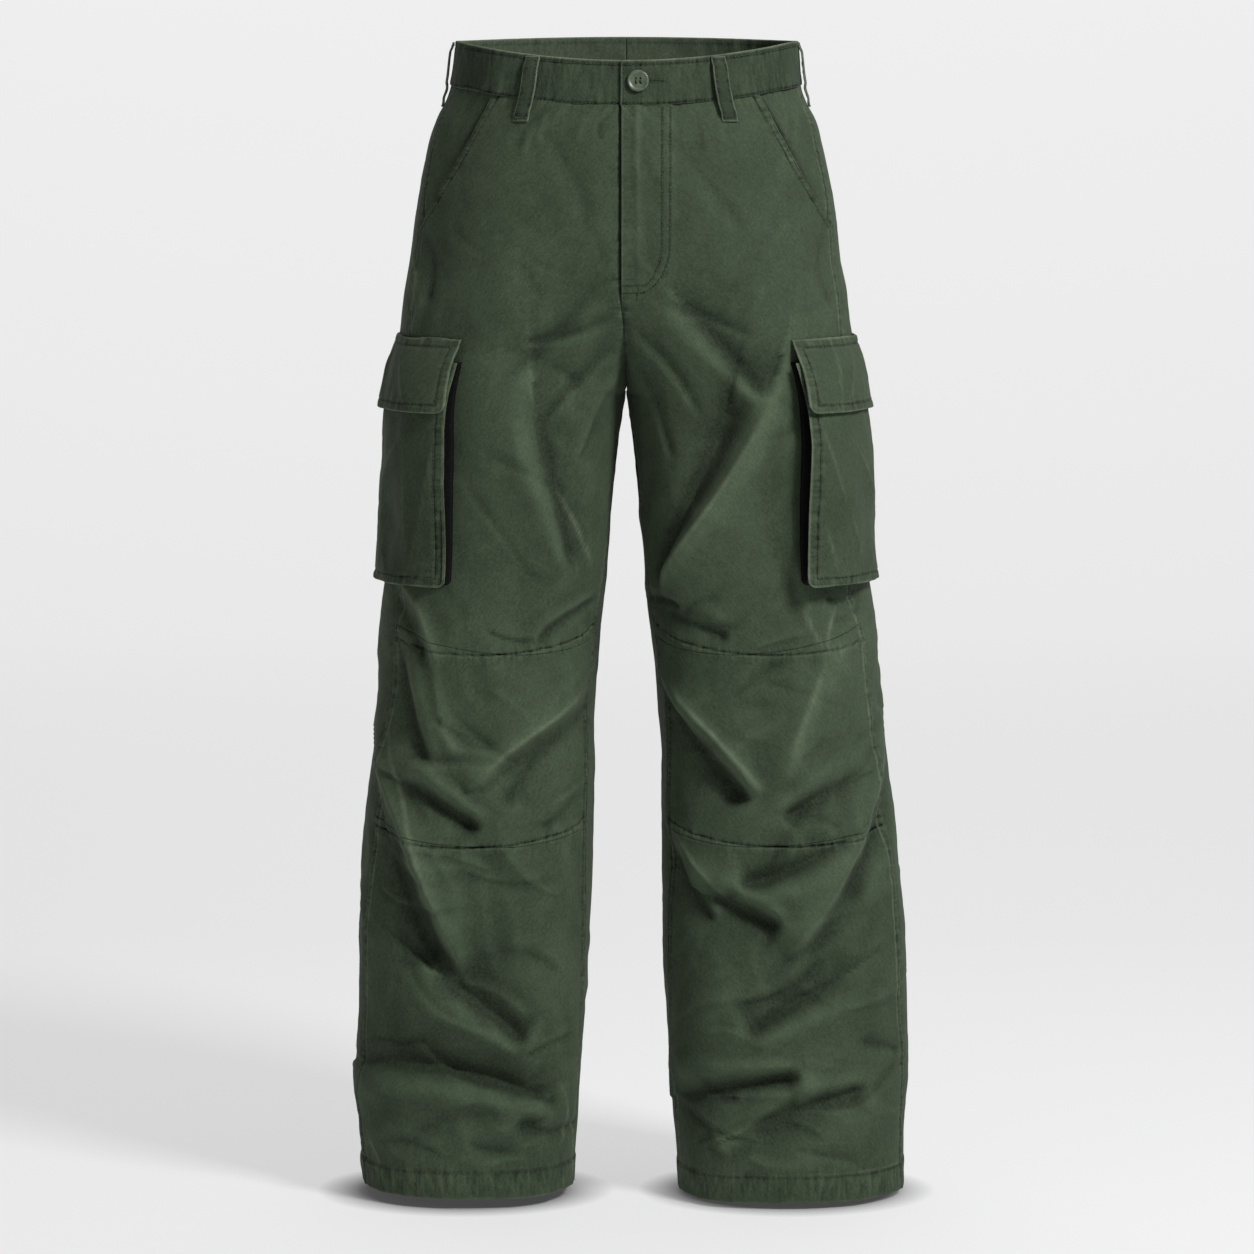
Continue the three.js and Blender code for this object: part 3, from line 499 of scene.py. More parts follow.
def drawSmallFolds(side, seed):
    draw = np.random.RandomState(seed)
    made = []
    z = foldZones
    for n in range(len(z["top"])):
        for half in (1, -1):  # the front, then the back
            for k in range(int(z["count"][n])):
                centreZ = draw.uniform(z["foot"][n], z["top"][n])
                reach = float(arcAt(side, centreZ, valueAt(form, "inseam", centreZ)))
                centre = half * draw.uniform(0.06, 0.94) * reach
                slope = draw.uniform(z["slopeLow"][n], z["slopeHigh"][n]) * radians
                length = draw.uniform(z["lengthLow"][n], z["lengthHigh"][n])
                rise = z["height"][n] * draw.choice([-1, -0.7, 0.6, 0.9]) * draw.uniform(0.45, 1.0)
                wide = z["width"][n] * draw.uniform(0.8, 1.5)
                sag = draw.uniform(-0.16, 0.16) * length
                t = np.linspace(0, 1, 7) if draw.uniform() > 0.4 else np.linspace(1, 0, 7)
                alongArc = half * math.cos(slope)
                alongZ = -math.sin(slope)
                bow = sag * 4 * t * (1 - t)
                curveArc = centre + (t - 0.5) * length * alongArc - bow * alongZ
                curveZ = centreZ + (t - 0.5) * length * alongZ + bow * alongArc
                narrow = draw.choice([0.45, 1.0, 2.0])
                made.append(((curveArc, curveZ), rise, wide, wide * narrow))
    return made


smallFolds = {1: drawSmallFolds(1, 12), -1: drawSmallFolds(-1, 29)}


def waistTopAt(share, front):
    return lines["topAtHip"] + np.where(front, -lines["frontDip"], lines["backRaise"]) * share ** 2


def waistSeamAt(x, front):
    share = np.sqrt(np.clip(1 - (np.abs(x) / 156.0) ** 2, 0, 1))
    return waistTopAt(share, front) - lines["bandHeight"]


def kneeLineAt(which, t):
    ends = (lines["knee" + which + "Inseam"], lines["knee" + which + "Side"])
    return mix(ends[0], ends[1], t) - lines["kneeDip"] * np.sin(np.pi * t)


# What the sewing does to the cloth: felled seams, hems, puckers. All in millimetres outwards.
sewing = {
    "felled": 0.9, "felledWidth": 8.0, "groove": 0.75, "grooveWidth": 1.1,
    "firstStitch": 1.3, "secondStitch": 7.3,
    "pucker": 0.42, "puckerLength": 9.5, "puckerReach": 10.0,
    "hem": 0.9, "hemPucker": 0.5, "hemGroove": 0.5, "waistPucker": 0.35,
    "kneeTurn": 0.45, "kneeGroove": 0.8, "kneePucker": 0.8,
    "slantTurn": 0.8, "slantGroove": 0.45,
    "flyStep": 2.2, "flyWidth": 38.5, "flyReach": 44, "flyRidge": 1.3, "flyPucker": 0.7,
    "sunkLap": 1.9, "sunkEdge": 2.0,
}
# How loosely the cloth hangs: less at the sides and near the waist, and not at all along some seams.
drape = {
    "ripple": 1.1, "crumple": 2.0, "fineRipple": 0.3, "atSides": 0.42, "atWaist": 0.45,
    "calmTop": -180, "calmFoot": -420, "nearInseam": 24, "nearCentre": 18, "nearBand": 5, "joinHeight": 30,
}


# Painted shade for a felled seam: darker in its two stitch grooves and behind its fold, where shade falls.
def seamShadeLines(d):
    grooves = [bump(d - sewing[key], 0.75) for key in ("firstStitch", "secondStitch")]
    return highest(*grooves, bump(d + 0.2, 0.9))


def felled(d):
    v = sewing
    lift = v["felled"] * ease(-0.6, 0.5, d) * (1 - ease(v["felledWidth"], v["felledWidth"] + 1.6, d))
    for stitch in (v["firstStitch"], v["secondStitch"]):
        lift = lift - v["groove"] * bump(d - stitch, v["grooveWidth"])
    return lift - 0.5 * bump(d + 0.2, 0.9)


# Sharp-topped unevenness, as washed cotton has it: bent noise folded at zero.
def crumple(arc, z, shift):
    bentArc = arc + 16 * noise(arc / 70, z / 60, shift + 40)
    bentZ = z + 16 * noise(arc / 60, z / 70, shift + 41)
    broad = noise(bentArc / 34 + bentZ / 110, bentZ / 52, shift + 42)
    small = noise(bentArc / 15 - bentZ / 60, bentZ / 24, shift + 43)
    patch = 0.5 + 0.5 * noise(arc / 90, z / 110, shift + 44)
    folded = (0.4 - np.sqrt(broad ** 2 + 0.004)) * (0.5 + patch)
    return folded + 0.45 * (0.35 - np.sqrt(small ** 2 + 0.006)) * patch


def sewBack(at, height, marks):
    below, dSide, dBack = at["below"], at["side"], at["back"]
    marks["rib"] = highest(0.6 * bump(dSide, 5), np.where(below, 0.5, 1.0) * bump(dBack - 4, 5))
    marks["worn"] = highest(bump(dBack, 1.2) * ~below, 0.3 * bump(dSide, 1.5))
    # painted shade along the back seam's grooves and edge
    marks["seam"] = np.where(below, bump(dBack, 1.2), seamShadeLines(dBack))
    height = height - sewing["sunkEdge"] * ease(-1.3, 0.1, dSide) - 0.35 * bump(dSide + 2.0, 1.0)
    return height + np.where(below, -sewing["sunkEdge"] * ease(1.3, -0.1, dBack), felled(dBack))


def sewFront(side, z, arc, at, height, marks):
    v = sewing
    below, dSide, dInner = at["below"], at["side"], at["inner"]
    slanted = z > lines["slantFootZ"]
    height = height + np.where(below, 1.0, 0.6 * (z < lines["flyFoot"])) * felled(dInner)
    height = height + np.where(slanted, 0, felled(dSide))
    rib = np.where(~below & (z > lines["valleyTop"]), 0.25, 1.0) * marks["rib"]
    rib = np.where(slanted & (dSide < 60) & (dSide > -5), 0, rib)
    atFly = ease(lines["flyFoot"] - 4, lines["flyFoot"] + 4, z)
    sideWorn = np.where(slanted, 0, highest(bump(dSide - 0.4, 0.8), 0.6 * bump(dSide - 8.2, 0.9)))
    worn = highest(bump(dInner - 0.4, 0.8) * (1 - atFly), 0.6 * bump(dInner - 8.2, 0.9) * below, sideWorn)
    # painted shade along the centre seam above the crotch, in the gap at the lap
    seam = np.where(below, marks["seam"], highest(marks["seam"], bump(dInner, 1.6 if side < 0 else 0.6)))
    # knee seams: the lower piece is turned under the upper one and stitched along its edge
    t = np.clip(1 - dSide / at["width"], 0, 1)
    for which in ("Top", "Foot"):
        d = z - kneeLineAt(which, 1 - t)
        hang = np.where(d < 0, np.exp(d / 8), np.exp(-d / 3))
        height = height + v["kneeTurn"] * ease(-9, -7.5, d) * (1 - ease(-0.6, 0.2, d))
        height = height - v["kneeGroove"] * bump(d, 1.0) - 0.3 * bump(d + 1.9, 0.9)
        height = height + v["kneePucker"] * noise(arc / 4.4, z / 50, at["shift"] + 5) * hang
        marks["ribAcross"] = highest(marks["ribAcross"], 0.9 * hang)
        worn = highest(worn, 0.25 * bump(d + 1.9, 0.6))
        # painted shade along the knee seam's groove
        seam = highest(seam, bump(d, 0.9))
    # slanted pocket edge, with painted shade in its two stitch grooves
    edge = np.where(slanted, arc - arcAt(side, z, slantAngle(side, z)), 999)
    height = height + v["slantTurn"] * ease(-0.5, 0.5, edge) * (1 - ease(8.2, 9.6, edge))
    height = height - v["slantGroove"] * (bump(edge - 1.4, 1.0) + bump(edge - 7.6, 1.0))
    marks["rib"] = highest(rib, bump(edge - 4.2, 4.6))
    marks["worn"] = highest(worn, 0.8 * bump(edge - 0.3, 0.7))
    marks["seam"] = np.where(edge < 30, highest(bump(edge - 1.9, 0.7), bump(edge - 7.6, 0.7)), seam)
    return height


# The hem is turned up inside and stitched.
def sewHem(z, arc, at, height, marks):
    v, dHem, turnUp = sewing, at["hem"], lines["hemHeight"]
    pucker = noise(arc / 5.5, z / 60, at["shift"] + 4)
    pucker = pucker + 0.6 * noise(arc / 16 + z / 24, z / 50, at["shift"] + 6)
    height = height + v["hem"] * (1 - ease(turnUp - 0.6, turnUp + 0.6, dHem))
    height = height - v["hemGroove"] * (bump(dHem - turnUp, 1.0) + bump(dHem, 0.8))
    height = height + v["hemPucker"] * pucker * bump(dHem - 15, 17)
    marks["ribAcross"] = highest(marks["ribAcross"], 0.9 * bump(dHem - 15, 14))
    marks["worn"] = highest(marks["worn"], bump(dHem, 1.2), 0.4 * bump(dHem - turnUp - 0.8, 0.9))
    # painted shade in the groove above the hem's turn
    marks["seam"] = highest(marks["seam"], bump(dHem - turnUp + 0.8, 1.3))
    return height


# The left front laps over the right one along the fly.
def sewFly(x, z, height, marks):
    v = sewing
    onFly = ease(-222, -205, z)
    inFly = 1 - ease(v["flyWidth"], v["flyReach"], x)
    height = height + v["flyStep"] * inFly * (1 - ease(lines["flyFoot"] + 4, lines["flyFoot"] - 22, z))
    ridge = bump(x - mix(9.5, 12.5, ease(-60, -220, z)) + 2.2 * bump(z + 104, 9), 3.6)
    height = height + v["flyRidge"] * ridge * onFly
    height = height + v["flyPucker"] * noise(x / 9, z / 13, 31) * (1 - ease(30, 40, x)) * ease(-226, -214, z)
    marks["worn"] = highest(marks["worn"], 0.2 * bump(x - 10.5, 2.0) * onFly)
    return height


# The relief of a leg and the marks that its material uses.
def relief(side, z, angle, panel):
    v = drape
    arc = arcAt(side, z, angle)
    height, crease = foldHeights(side, arc, z)
    inseam = valueAt(form, "inseam", z)
    below = z < lines["crotch"]
    # folds run on round the inside leg, where the front's arc meets the back's
    frontArc, backArc = arcAt(side, z, inseam), arcAt(side, z, inseam - 360)
    girth = frontArc - backArc
    runOn = foldHeights(side, np.where(arc > 0, arc - girth, arc + girth), z)[0]
    nearInseam = np.minimum(np.abs(frontArc - arc), np.abs(arc - backArc))
    joined = ease(lines["crotch"], lines["crotch"] - v["joinHeight"], z)
    height = np.where(below, (height + runOn * joined) * (1 - (1 - joined) * bump(nearInseam, 20)), height)
    # the outline stays calm, and the centre and waist seams stay shut
    height = height * mix(v["atSides"], 1.0, np.sin(angle * radians) ** 2)
    nearCentre = ease(0, v["nearCentre"], np.abs(arcAt(side, z, np.where(arc > 0, inseam, -inseam)) - arc))
    x, y = section(side, z, angle)
    dWaist = np.maximum(waistSeamAt(x, y < 0) - z, 0)
    nearBand = 1 - 0.9 * np.exp(-dWaist / v["nearBand"])
    height = np.where(below, height, height * nearCentre) * nearBand
    sideArc = arcAt(side, z, valueAt(form, "sideSeam", z))
    shift = 3 if side > 0 else 7
    at = {
        "below": below, "shift": shift, "width": frontArc - sideArc, "side": arc - sideArc,
        "inner": frontArc - arc, "hem": z - hemAt(side),
        "back": arc - arcAt(side, z, np.where(below, inseam - 360, -inseam)),
    }
    # drape ripples, longer down the leg than across it, and a finer unevenness
    ripples = noise(arc / 42 + z / 160, z / 95, shift) + 0.5 * noise(arc / 20, z / 44 + arc / 90, shift + 1)
    calm = mix(v["atWaist"], 1.0, ease(v["calmTop"], v["calmFoot"], z))
    free = np.where(below, ease(0, v["nearInseam"], nearInseam), nearCentre) * nearBand
    height = height + (v["ripple"] * ripples + v["crumple"] * crumple(arc, z, shift)) * calm * free
    height = height + v["fineRipple"] * noise(arc / 7.5, z / 9.5, shift + 2) * free
    # puckers beside the seams
    along = noise(z / (0.5 * sewing["puckerLength"]), arc / 60, shift + 3)
    seamPull = highest(*[bump(at[key], sewing["puckerReach"]) for key in ("side", "inner", "back")])
    height = height + sewing["pucker"] * along * seamPull
    # crest carries the height, for painted light on tops and painted shade in hollows; seam is painted shade
    # in the seam grooves
    marks = {
        "crease": crease, "worn": 0 * arc, "ribAcross": 0 * arc, "crest": height / 9,
        "rib": highest(bump(at["side"] - 4.2, 5.5), bump(np.abs(at["inner"]) - 4.2, 5.5)),
        "seam": highest(seamShadeLines(at["side"]), np.where(below, seamShadeLines(at["inner"]), 0)),
    }
    # the right half's lap at the centre seams lies under the left half
    if side < 0 and panel in ("front", "back"):
        lapped = ease(lines["crotch"], lines["crotch"] + 6, z)
        nearEdge = at["inner" if panel == "front" else "back"]
        height = height - sewing["sunkLap"] * lapped * (1 - ease(1.4, 4.0, nearEdge))
    if panel == "front":
        height = sewFront(side, z, arc, at, height, marks)
    elif panel == "back":
        height = sewBack(at, height, marks)
    elif panel == "facing":
        height = height + felled(at["side"])
        marks["worn"] = highest(0.8 * bump(at["side"] - 0.4, 0.8), 0.5 * bump(at["side"] - 8.2, 0.9))
    else:
        marks["rib"] = 0 * arc
    height = sewHem(z, arc, at, height, marks)
    # the waist seam gathers the cloth a little
    height = height + sewing["waistPucker"] * noise(arc / 5.0, z / 40, shift + 8) * np.exp(-dWaist / 12)
    marks["ribAcross"] = highest(marks["ribAcross"], 0.7 * np.exp(-dWaist / 7))
    if side > 0 and panel == "front":
        height = sewFly(x, z, height, marks)
    return height, marks, arc


def slantAngle(side, z):
    foot = section(side, lines["slantFootZ"], valueAt(form, "sideSeam", lines["slantFootZ"]))[0]
    share = (lines["slantTopZ"] - z) / (lines["slantTopZ"] - lines["slantFootZ"])
    x = mix(lines["slantTopX"], abs(float(foot)), share)
    return np.maximum(valueAt(form, "sideSeam", z), angleOfX(side, z, x))


# Points of the cloth's outer face, lifted off it by a distance, with its marks.
def cloth(side, z, angle, lift=0.0, panel="front"):
    z, angle = np.broadcast_arrays(np.asarray(z, float), np.asarray(angle, float))
    height, marks, arc = relief(side, z, angle, panel)
    points = np.stack([*section(side, z, angle), z], -1)
    points = points + outwardOf(side, z, angle) * (height + lift)[..., None]
    stop = side * np.maximum(side * points[..., 0], innerAt(side, z))
    points[..., 0] = np.where(z > lines["crotch"], stop, points[..., 0])
    return points, marks, np.stack([arc, z], -1)


# Shares from 0 to 1 with finer steps near both ends, for a width in millimetres.
edgeSteps = [0, 0.45, 1.1, 2.0, 3.2, 4.8, 6.4, 7.3, 8.3, 9.8]


def shares(width, step):
    edge = np.array([place for place in edgeSteps if place < 0.45 * width])
    inner = width - 2 * edge[-1]
    count = max(2, int(round(inner / step)))
    middle = edge[-1] + inner * np.arange(1, count) / count
    return np.concatenate([edge, middle, width - edge[::-1]]) / width


# Shares down and across a grid, for its height and width and the steps between them.
def gridShares(height, rowStep, width, columnStep):
    down, across = shares(height, rowStep), shares(width, columnStep)
    return np.broadcast_arrays(down[:, None], across[None, :])


def gridNormals(points):
    down = np.gradient(points, axis=0)
    across = np.gradient(points, axis=1)
    normals = np.cross(across, down)
    return normals / (np.linalg.norm(normals, axis=-1, keepdims=True) + 1e-12)


def towards(normals, reference):
    flip = np.sum(normals * reference, -1, keepdims=True) < 0
    return np.where(flip, -normals, normals)


builtPieces = {}


def meshObject(name, vertices, quads, uv=None, marks=None):
    mesh = bpy.data.meshes.new(name)
    loopIndex = np.asarray(quads, np.int32).ravel()
    mesh.vertices.add(len(vertices))
    mesh.vertices.foreach_set("co", (np.asarray(vertices, float) * 0.001).astype(np.float32).ravel())
    mesh.loops.add(len(loopIndex))
    mesh.loops.foreach_set("vertex_index", loopIndex)
    mesh.polygons.add(len(quads))
    mesh.polygons.foreach_set("loop_start", 4 * np.arange(len(quads), dtype=np.int32))
    mesh.polygons.foreach_set("loop_total", np.full(len(quads), 4, np.int32))
    mesh.polygons.foreach_set("use_smooth", np.ones(len(quads), bool))
    mesh.update(calc_edges=True)
    if uv is not None:
        layer = mesh.uv_layers.new(name="clothMap")
        layer.data.foreach_set("uv", (np.asarray(uv)[loopIndex] * 0.001).astype(np.float32).ravel())
    for key, values in (marks or {}).items():
        attribute = mesh.attributes.new(key, "FLOAT", "POINT")
        attribute.data.foreach_set("value", np.asarray(values, np.float32).ravel())
    mesh.validate()
    built = bpy.data.objects.new(name, mesh)
    bpy.context.scene.collection.objects.link(built)
    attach(built, "root")
    builtPieces[name] = built


# How far a grid's height stands out of its own surroundings: crests are painted lighter, partly as wear and
# partly as painted light, and hollows darker as painted shade.
crestValues = {"rounds": 3, "reach": 3, "broad": 0.5, "local": 2.6}


def sharpened(crest):
    v = crestValues
    blurred = crest
    for k in range(v["rounds"]):
        for axis in (0, 1):
            pad = [(v["reach"], v["reach"]) if a == axis else (0, 0) for a in (0, 1)]
            padded = np.pad(blurred, pad, mode="edge")
            size = blurred.shape[axis]
            blurred = sum(np.take(padded, range(i, i + size), axis) for i in range(2 * v["reach"] + 1))
            blurred = blurred / (2 * v["reach"] + 1)
    return np.clip(v["broad"] * crest + v["local"] * (crest - blurred), -1, 1)


# A closed wall of cloth: an outer grid, an inner one behind it, and the four cut edges between.
def wall(name, outer, uv, marks, thickness, outwardHint):
    rows, columns = outer.shape[:2]
    normals = towards(gridNormals(outer), outwardHint)
    depth = np.broadcast_to(thickness, outer.shape[:2])[..., None]
    soft = np.zeros(outer.shape[:2])
    for k, amount in enumerate((0.34, 0.1)):
        for edge in (np.s_[k, :], np.s_[-1 - k, :], np.s_[:, k], np.s_[:, -1 - k]):
            soft[edge] = np.maximum(soft[edge], amount)
    inner = outer - normals * depth * (1 - soft[..., None])
    outer = outer - normals * depth * soft[..., None]
    index = np.arange(rows * columns).reshape(rows, columns)
    other = index + rows * columns
    outerFaces = np.stack([index[:-1, :-1], index[1:, :-1], index[1:, 1:], index[:-1, 1:]], -1).reshape(-1, 4)
    rims = []
    for edge, behind in ((index[::-1, 0], other[::-1, 0]), (index[:, -1], other[:, -1]),
                         (index[0], other[0]), (index[-1, ::-1], other[-1, ::-1])):
        rims.append(np.stack([edge[:-1], edge[1:], behind[1:], behind[:-1]], -1))
    quads = np.concatenate([outerFaces, outerFaces[:, ::-1] + rows * columns] + rims)
    cross = np.cross(outer[1, 0] - outer[0, 0], outer[1, 1] - outer[1, 0])
    if np.sum(cross * normals[0, 0]) < 0:
        quads = quads[:, ::-1]
    vertices = np.concatenate([outer.reshape(-1, 3), inner.reshape(-1, 3)])
    marks["crest"] = sharpened(marks["crest"])
    blank = 0 * marks["crest"]
    bothMarks = {"inside": np.concatenate([blank.ravel(), 1 + blank.ravel()])}
    for key in ("crease", "rib", "ribAcross", "worn", "crest", "seam"):
        outside = marks.get(key, blank).ravel()
        bothMarks[key] = np.concatenate([outside, 0.4 * outside])
    meshObject(name, vertices, quads, np.concatenate([uv.reshape(-1, 2)] * 2), bothMarks)


# Rows of a leg, as they run from the centre seam or inseam (share 0) to the side (share 1).
legRows = {"slantFoot": 6, "crotch": 12, "kneeTop": 22, "kneeFoot": 31, "hem": 47}


def rowEnds(side, row, topCentre, topSide):
    r, hem = legRows, hemAt(side)
    inseam = np.interp(row, [0, r["crotch"], r["kneeTop"], r["kneeFoot"], r["hem"]],
                       [topCentre, lines["crotch"], lines["kneeTopInseam"], lines["kneeFootInseam"], hem])
    outer = np.interp(row, [0, r["slantFoot"], r["kneeTop"], r["kneeFoot"], r["hem"]],
                      [topSide, lines["slantFootZ"], lines["kneeTopSide"], lines["kneeFootSide"], hem])
    return inseam, outer


def rowDip(row):
    rising = ease(0, legRows["kneeTop"], row)
    falling = 1 - ease(legRows["kneeFoot"], legRows["hem"], row)
    return lines["kneeDip"] * np.where(row <= legRows["kneeTop"], rising, falling)


seamTrim = lines["halfGap"] / 100 / radians
clothValues = {
    "wall": 1.3, "step": 2.3, "rowStep": 2.2, "backStep": 3.9, "backRowStep": 3.6,
    "width": 190, "backWidth": 330, "backHeight": 992, "backKneeTop": 473, "backKneeFoot": 650,
    "bandFoot": -43.0,
}


def frontEdges(side, z):
    end = np.where(z > lines["slantFootZ"], slantAngle(side, z), valueAt(form, "sideSeam", z))
    return valueAt(form, "inseam", z), end


def frontPlaces(side, row, t):
    topCentre, topSide = waistSeamAt(0.0, True), waistSeamAt(lines["slantTopX"], True)
    inseam, outer = rowEnds(side, row, topCentre, topSide)
    level = mix(inseam, outer, t) - rowDip(row) * np.sin(np.pi * t)
    z = level
    for k in range(2):
        angle = mix(*frontEdges(side, z), t)
        x, y = section(side, np.minimum(z, clothValues["bandFoot"]), angle)
        curve = waistSeamAt(x, True) - mix(topCentre, topSide, t)
        z = level + curve * np.maximum(0, 1 - row / legRows["crotch"])
    start, end = frontEdges(side, z)
    trim = np.where(z < lines["crotch"] + 0.5, seamTrim, 0)
    return z, mix(start - trim, end + seamTrim, t)


def frontPanel(name, side, fromRow, toRow):
    v, r = clothValues, legRows
    height = {r["kneeTop"]: 478, r["kneeFoot"]: 176, r["hem"]: 335}[toRow]
    down, t = gridShares(height, v["rowStep"], v["width"], v["step"])
    z, angle = frontPlaces(side, mix(fromRow, toRow, down), t)
    z[0] += lines["intoBand"] if fromRow == 0 else -lines["halfGap"]
    if toRow < r["hem"]:
        z[-1] += lines["halfGap"]
    points, marks, uv = cloth(side, z, angle)
    wall(name, points, uv, marks, v["wall"], outwardOf(side, z, angle))


# Where the side seam meets the waist seam.
def hipTop(side):
    foot = clothValues["bandFoot"]
    hipX, hipY = section(side, foot, valueAt(form, "sideSeam", foot))
    return waistSeamAt(float(hipX), True)


def backPlaces(side, row, t):
    foot, crotch = clothValues["bandFoot"], lines["crotch"]
    topSide, topCentre = hipTop(side), waistSeamAt(0.0, False)
    z = mix(*rowEnds(side, row, topCentre, topSide), t)
    topAngle = mix(-valueAt(form, "inseam", foot), valueAt(form, "sideSeam", foot), t)
    x, y = section(side, foot, topAngle)
    curve = waistSeamAt(x, y < 0) - mix(topCentre, topSide, t)
    z = z + curve * np.maximum(0, 1 - row / legRows["slantFoot"])
    # the back's seam allowances run on under the front, and the right half's under the left half
    inseam = valueAt(form, "inseam", z)
    under = lines["underLap"] / 100 / radians
    legLap = under * ease(crotch - 2, crotch - 20, z)
    centreLap = under * ease(crotch + 1, crotch + 9, z) if side < 0 else 0
    start = np.where(z > crotch + 0.5, -inseam - centreLap, inseam - 360 + seamTrim - legLap)
    end = valueAt(form, "sideSeam", z) + lines["underLap"] / outerAt(side, z) / radians
    return z, mix(start, end, t)


def backPanel(name, side):
    v, r = clothValues, legRows
    down, t = gridShares(v["backHeight"], v["backRowStep"], v["backWidth"], v["backStep"])
    # rows are set out by length down the leg, as the front's are
    knees = [0, v["backKneeTop"] / v["backHeight"], v["backKneeFoot"] / v["backHeight"], 1]
    row = np.interp(down, knees, [0, r["kneeTop"], r["kneeFoot"], r["hem"]])
    z, angle = backPlaces(side, row, t)
    z[0] += lines["intoBand"]
    points, marks, uv = cloth(side, z, angle, panel="back")
    wall(name, points, uv, marks, v["wall"], outwardOf(side, z, angle))


for side, word in ((1, "left"), (-1, "right")):
    frontPanel("frontUpper_" + word, side, 0, 22)
    frontPanel("frontKnee_" + word, side, 22, 31)
    frontPanel("frontLower_" + word, side, 31, 47)
    backPanel("back_" + word, side)
print("stage: panels built")


# The piece that shows behind the slanted pocket edge; it runs 12 mm under the front.
facingValues = {
    "under": 12.0, "sunk": 2.6, "open": 3.0, "foot": -167.5, "wall": 1.2, "gapeLeft": 8.0, "gapeRight": 4.5,
    "height": 118, "width": 64, "hidden": 0.2, "inset": 0.6,
}


def hipFacing(name, side):
    v = facingValues
    s, t = gridShares(v["height"], 2.6, v["width"], 2.35)
    share = np.clip((t - v["hidden"]) / (1 - v["hidden"]), 0, 1)
    z = mix(hipTop(side), v["foot"], s)
    for k in range(2):
        edge = slantAngle(side, np.minimum(z, lines["slantTopZ"]))
        seam = valueAt(form, "sideSeam", z) + seamTrim
        perDegree = outerAt(side, z) * radians
        under = mix(v["under"], -v["inset"], np.clip(t / v["hidden"], 0, 1)) / perDegree
        angle = np.where(t < v["hidden"], edge + under, mix(edge - v["inset"] / perDegree, seam, share))
        x, y = section(side, clothValues["bandFoot"], angle)
        z = mix(waistSeamAt(x, y < 0) - lines["halfGap"], v["foot"], s)
    lift = -(v["sunk"] + v["open"] * np.sin(np.pi * s)) * (1 - ease(0.1, 1, share))
    points, marks, uv = cloth(side, z, angle, lift, "facing")
    # the shade in the gape, which is widest half way down
    gape = v["gapeLeft"] if side > 0 else v["gapeRight"]
    gape = gape * np.sqrt(np.sin(np.pi * np.clip(s, 0.01, 0.99)))
    wide = arcAt(side, z, edge) - arcAt(side, z, seam)
    marks["seam"] = highest(marks["seam"], 1.5 * bump(share * wide, gape))
    wall(name, points, uv, marks, v["wall"], outwardOf(side, z, angle))


# The waistband, cut in two halves that meet at the centre back; the left one laps over the right.
bandValues = {
    "wall": 2.3, "lift": 1.4, "onTop": 1.3, "under": -2.2, "blend": 14,
    "leftEnd": 91.75, "rightEnd": 78.0, "backSeam": 0.06,
    "topStitch": 4.2, "footStitch": 1.6, "rib": 0.3, "holeZ": -37.5, "holeStart": 83, "holeEnd": 77.4,
    "radius": 150, "arcRadius": 135,
}


def bandOval(angle, z):
    c = np.cos(angle * radians)
    wide = np.where(c > 0, outerAt(1, z), outerAt(-1, z))
    front = np.sin(angle * radians) > 0
    crown = valueAt(form, "crown", z)
    share = np.clip((np.abs(wide * c) - crown) / (wide - crown), 0, 1)
    depth = np.where(front, valueAt(form, "front", z), valueAt(form, "back", z))
    y = depth * np.sqrt(1 - share ** 2) * (1 + lines["squareness"] * share ** 2)
    return wide * c, np.where(front, -y, y)


# Points round the waist, lifted off it by a distance, and their outward directions.
def waist(angle, z, lift):
    angle, z, lift = np.broadcast_arrays(*[np.asarray(values, float) for values in (angle, z, lift)])
    x, y = bandOval(angle, z)
    ax, ay = bandOval(angle - 0.5, z)
    bx, by = bandOval(angle + 0.5, z)
    size = np.hypot(bx - ax, by - ay)
    nx, ny = (ay - by) / size, (bx - ax) / size
    return np.stack([x + nx * lift, y + ny * lift, z], -1), np.stack([nx, ny, 0 * nx], -1)


def bandLiftAt(side, angle):
    v = bandValues
    if side > 0:
        return v["lift"] + v["onTop"] * ease(60, 78, angle)
    return mix(v["lift"] + v["under"], v["lift"], ease(v["leftEnd"] + 1, v["leftEnd"] + v["blend"], angle))


def bandPlace(side, angle, down):
    sine = np.sin(angle * radians)
    return waistTopAt(np.abs(sine), sine > 0) - down, bandLiftAt(side, angle)


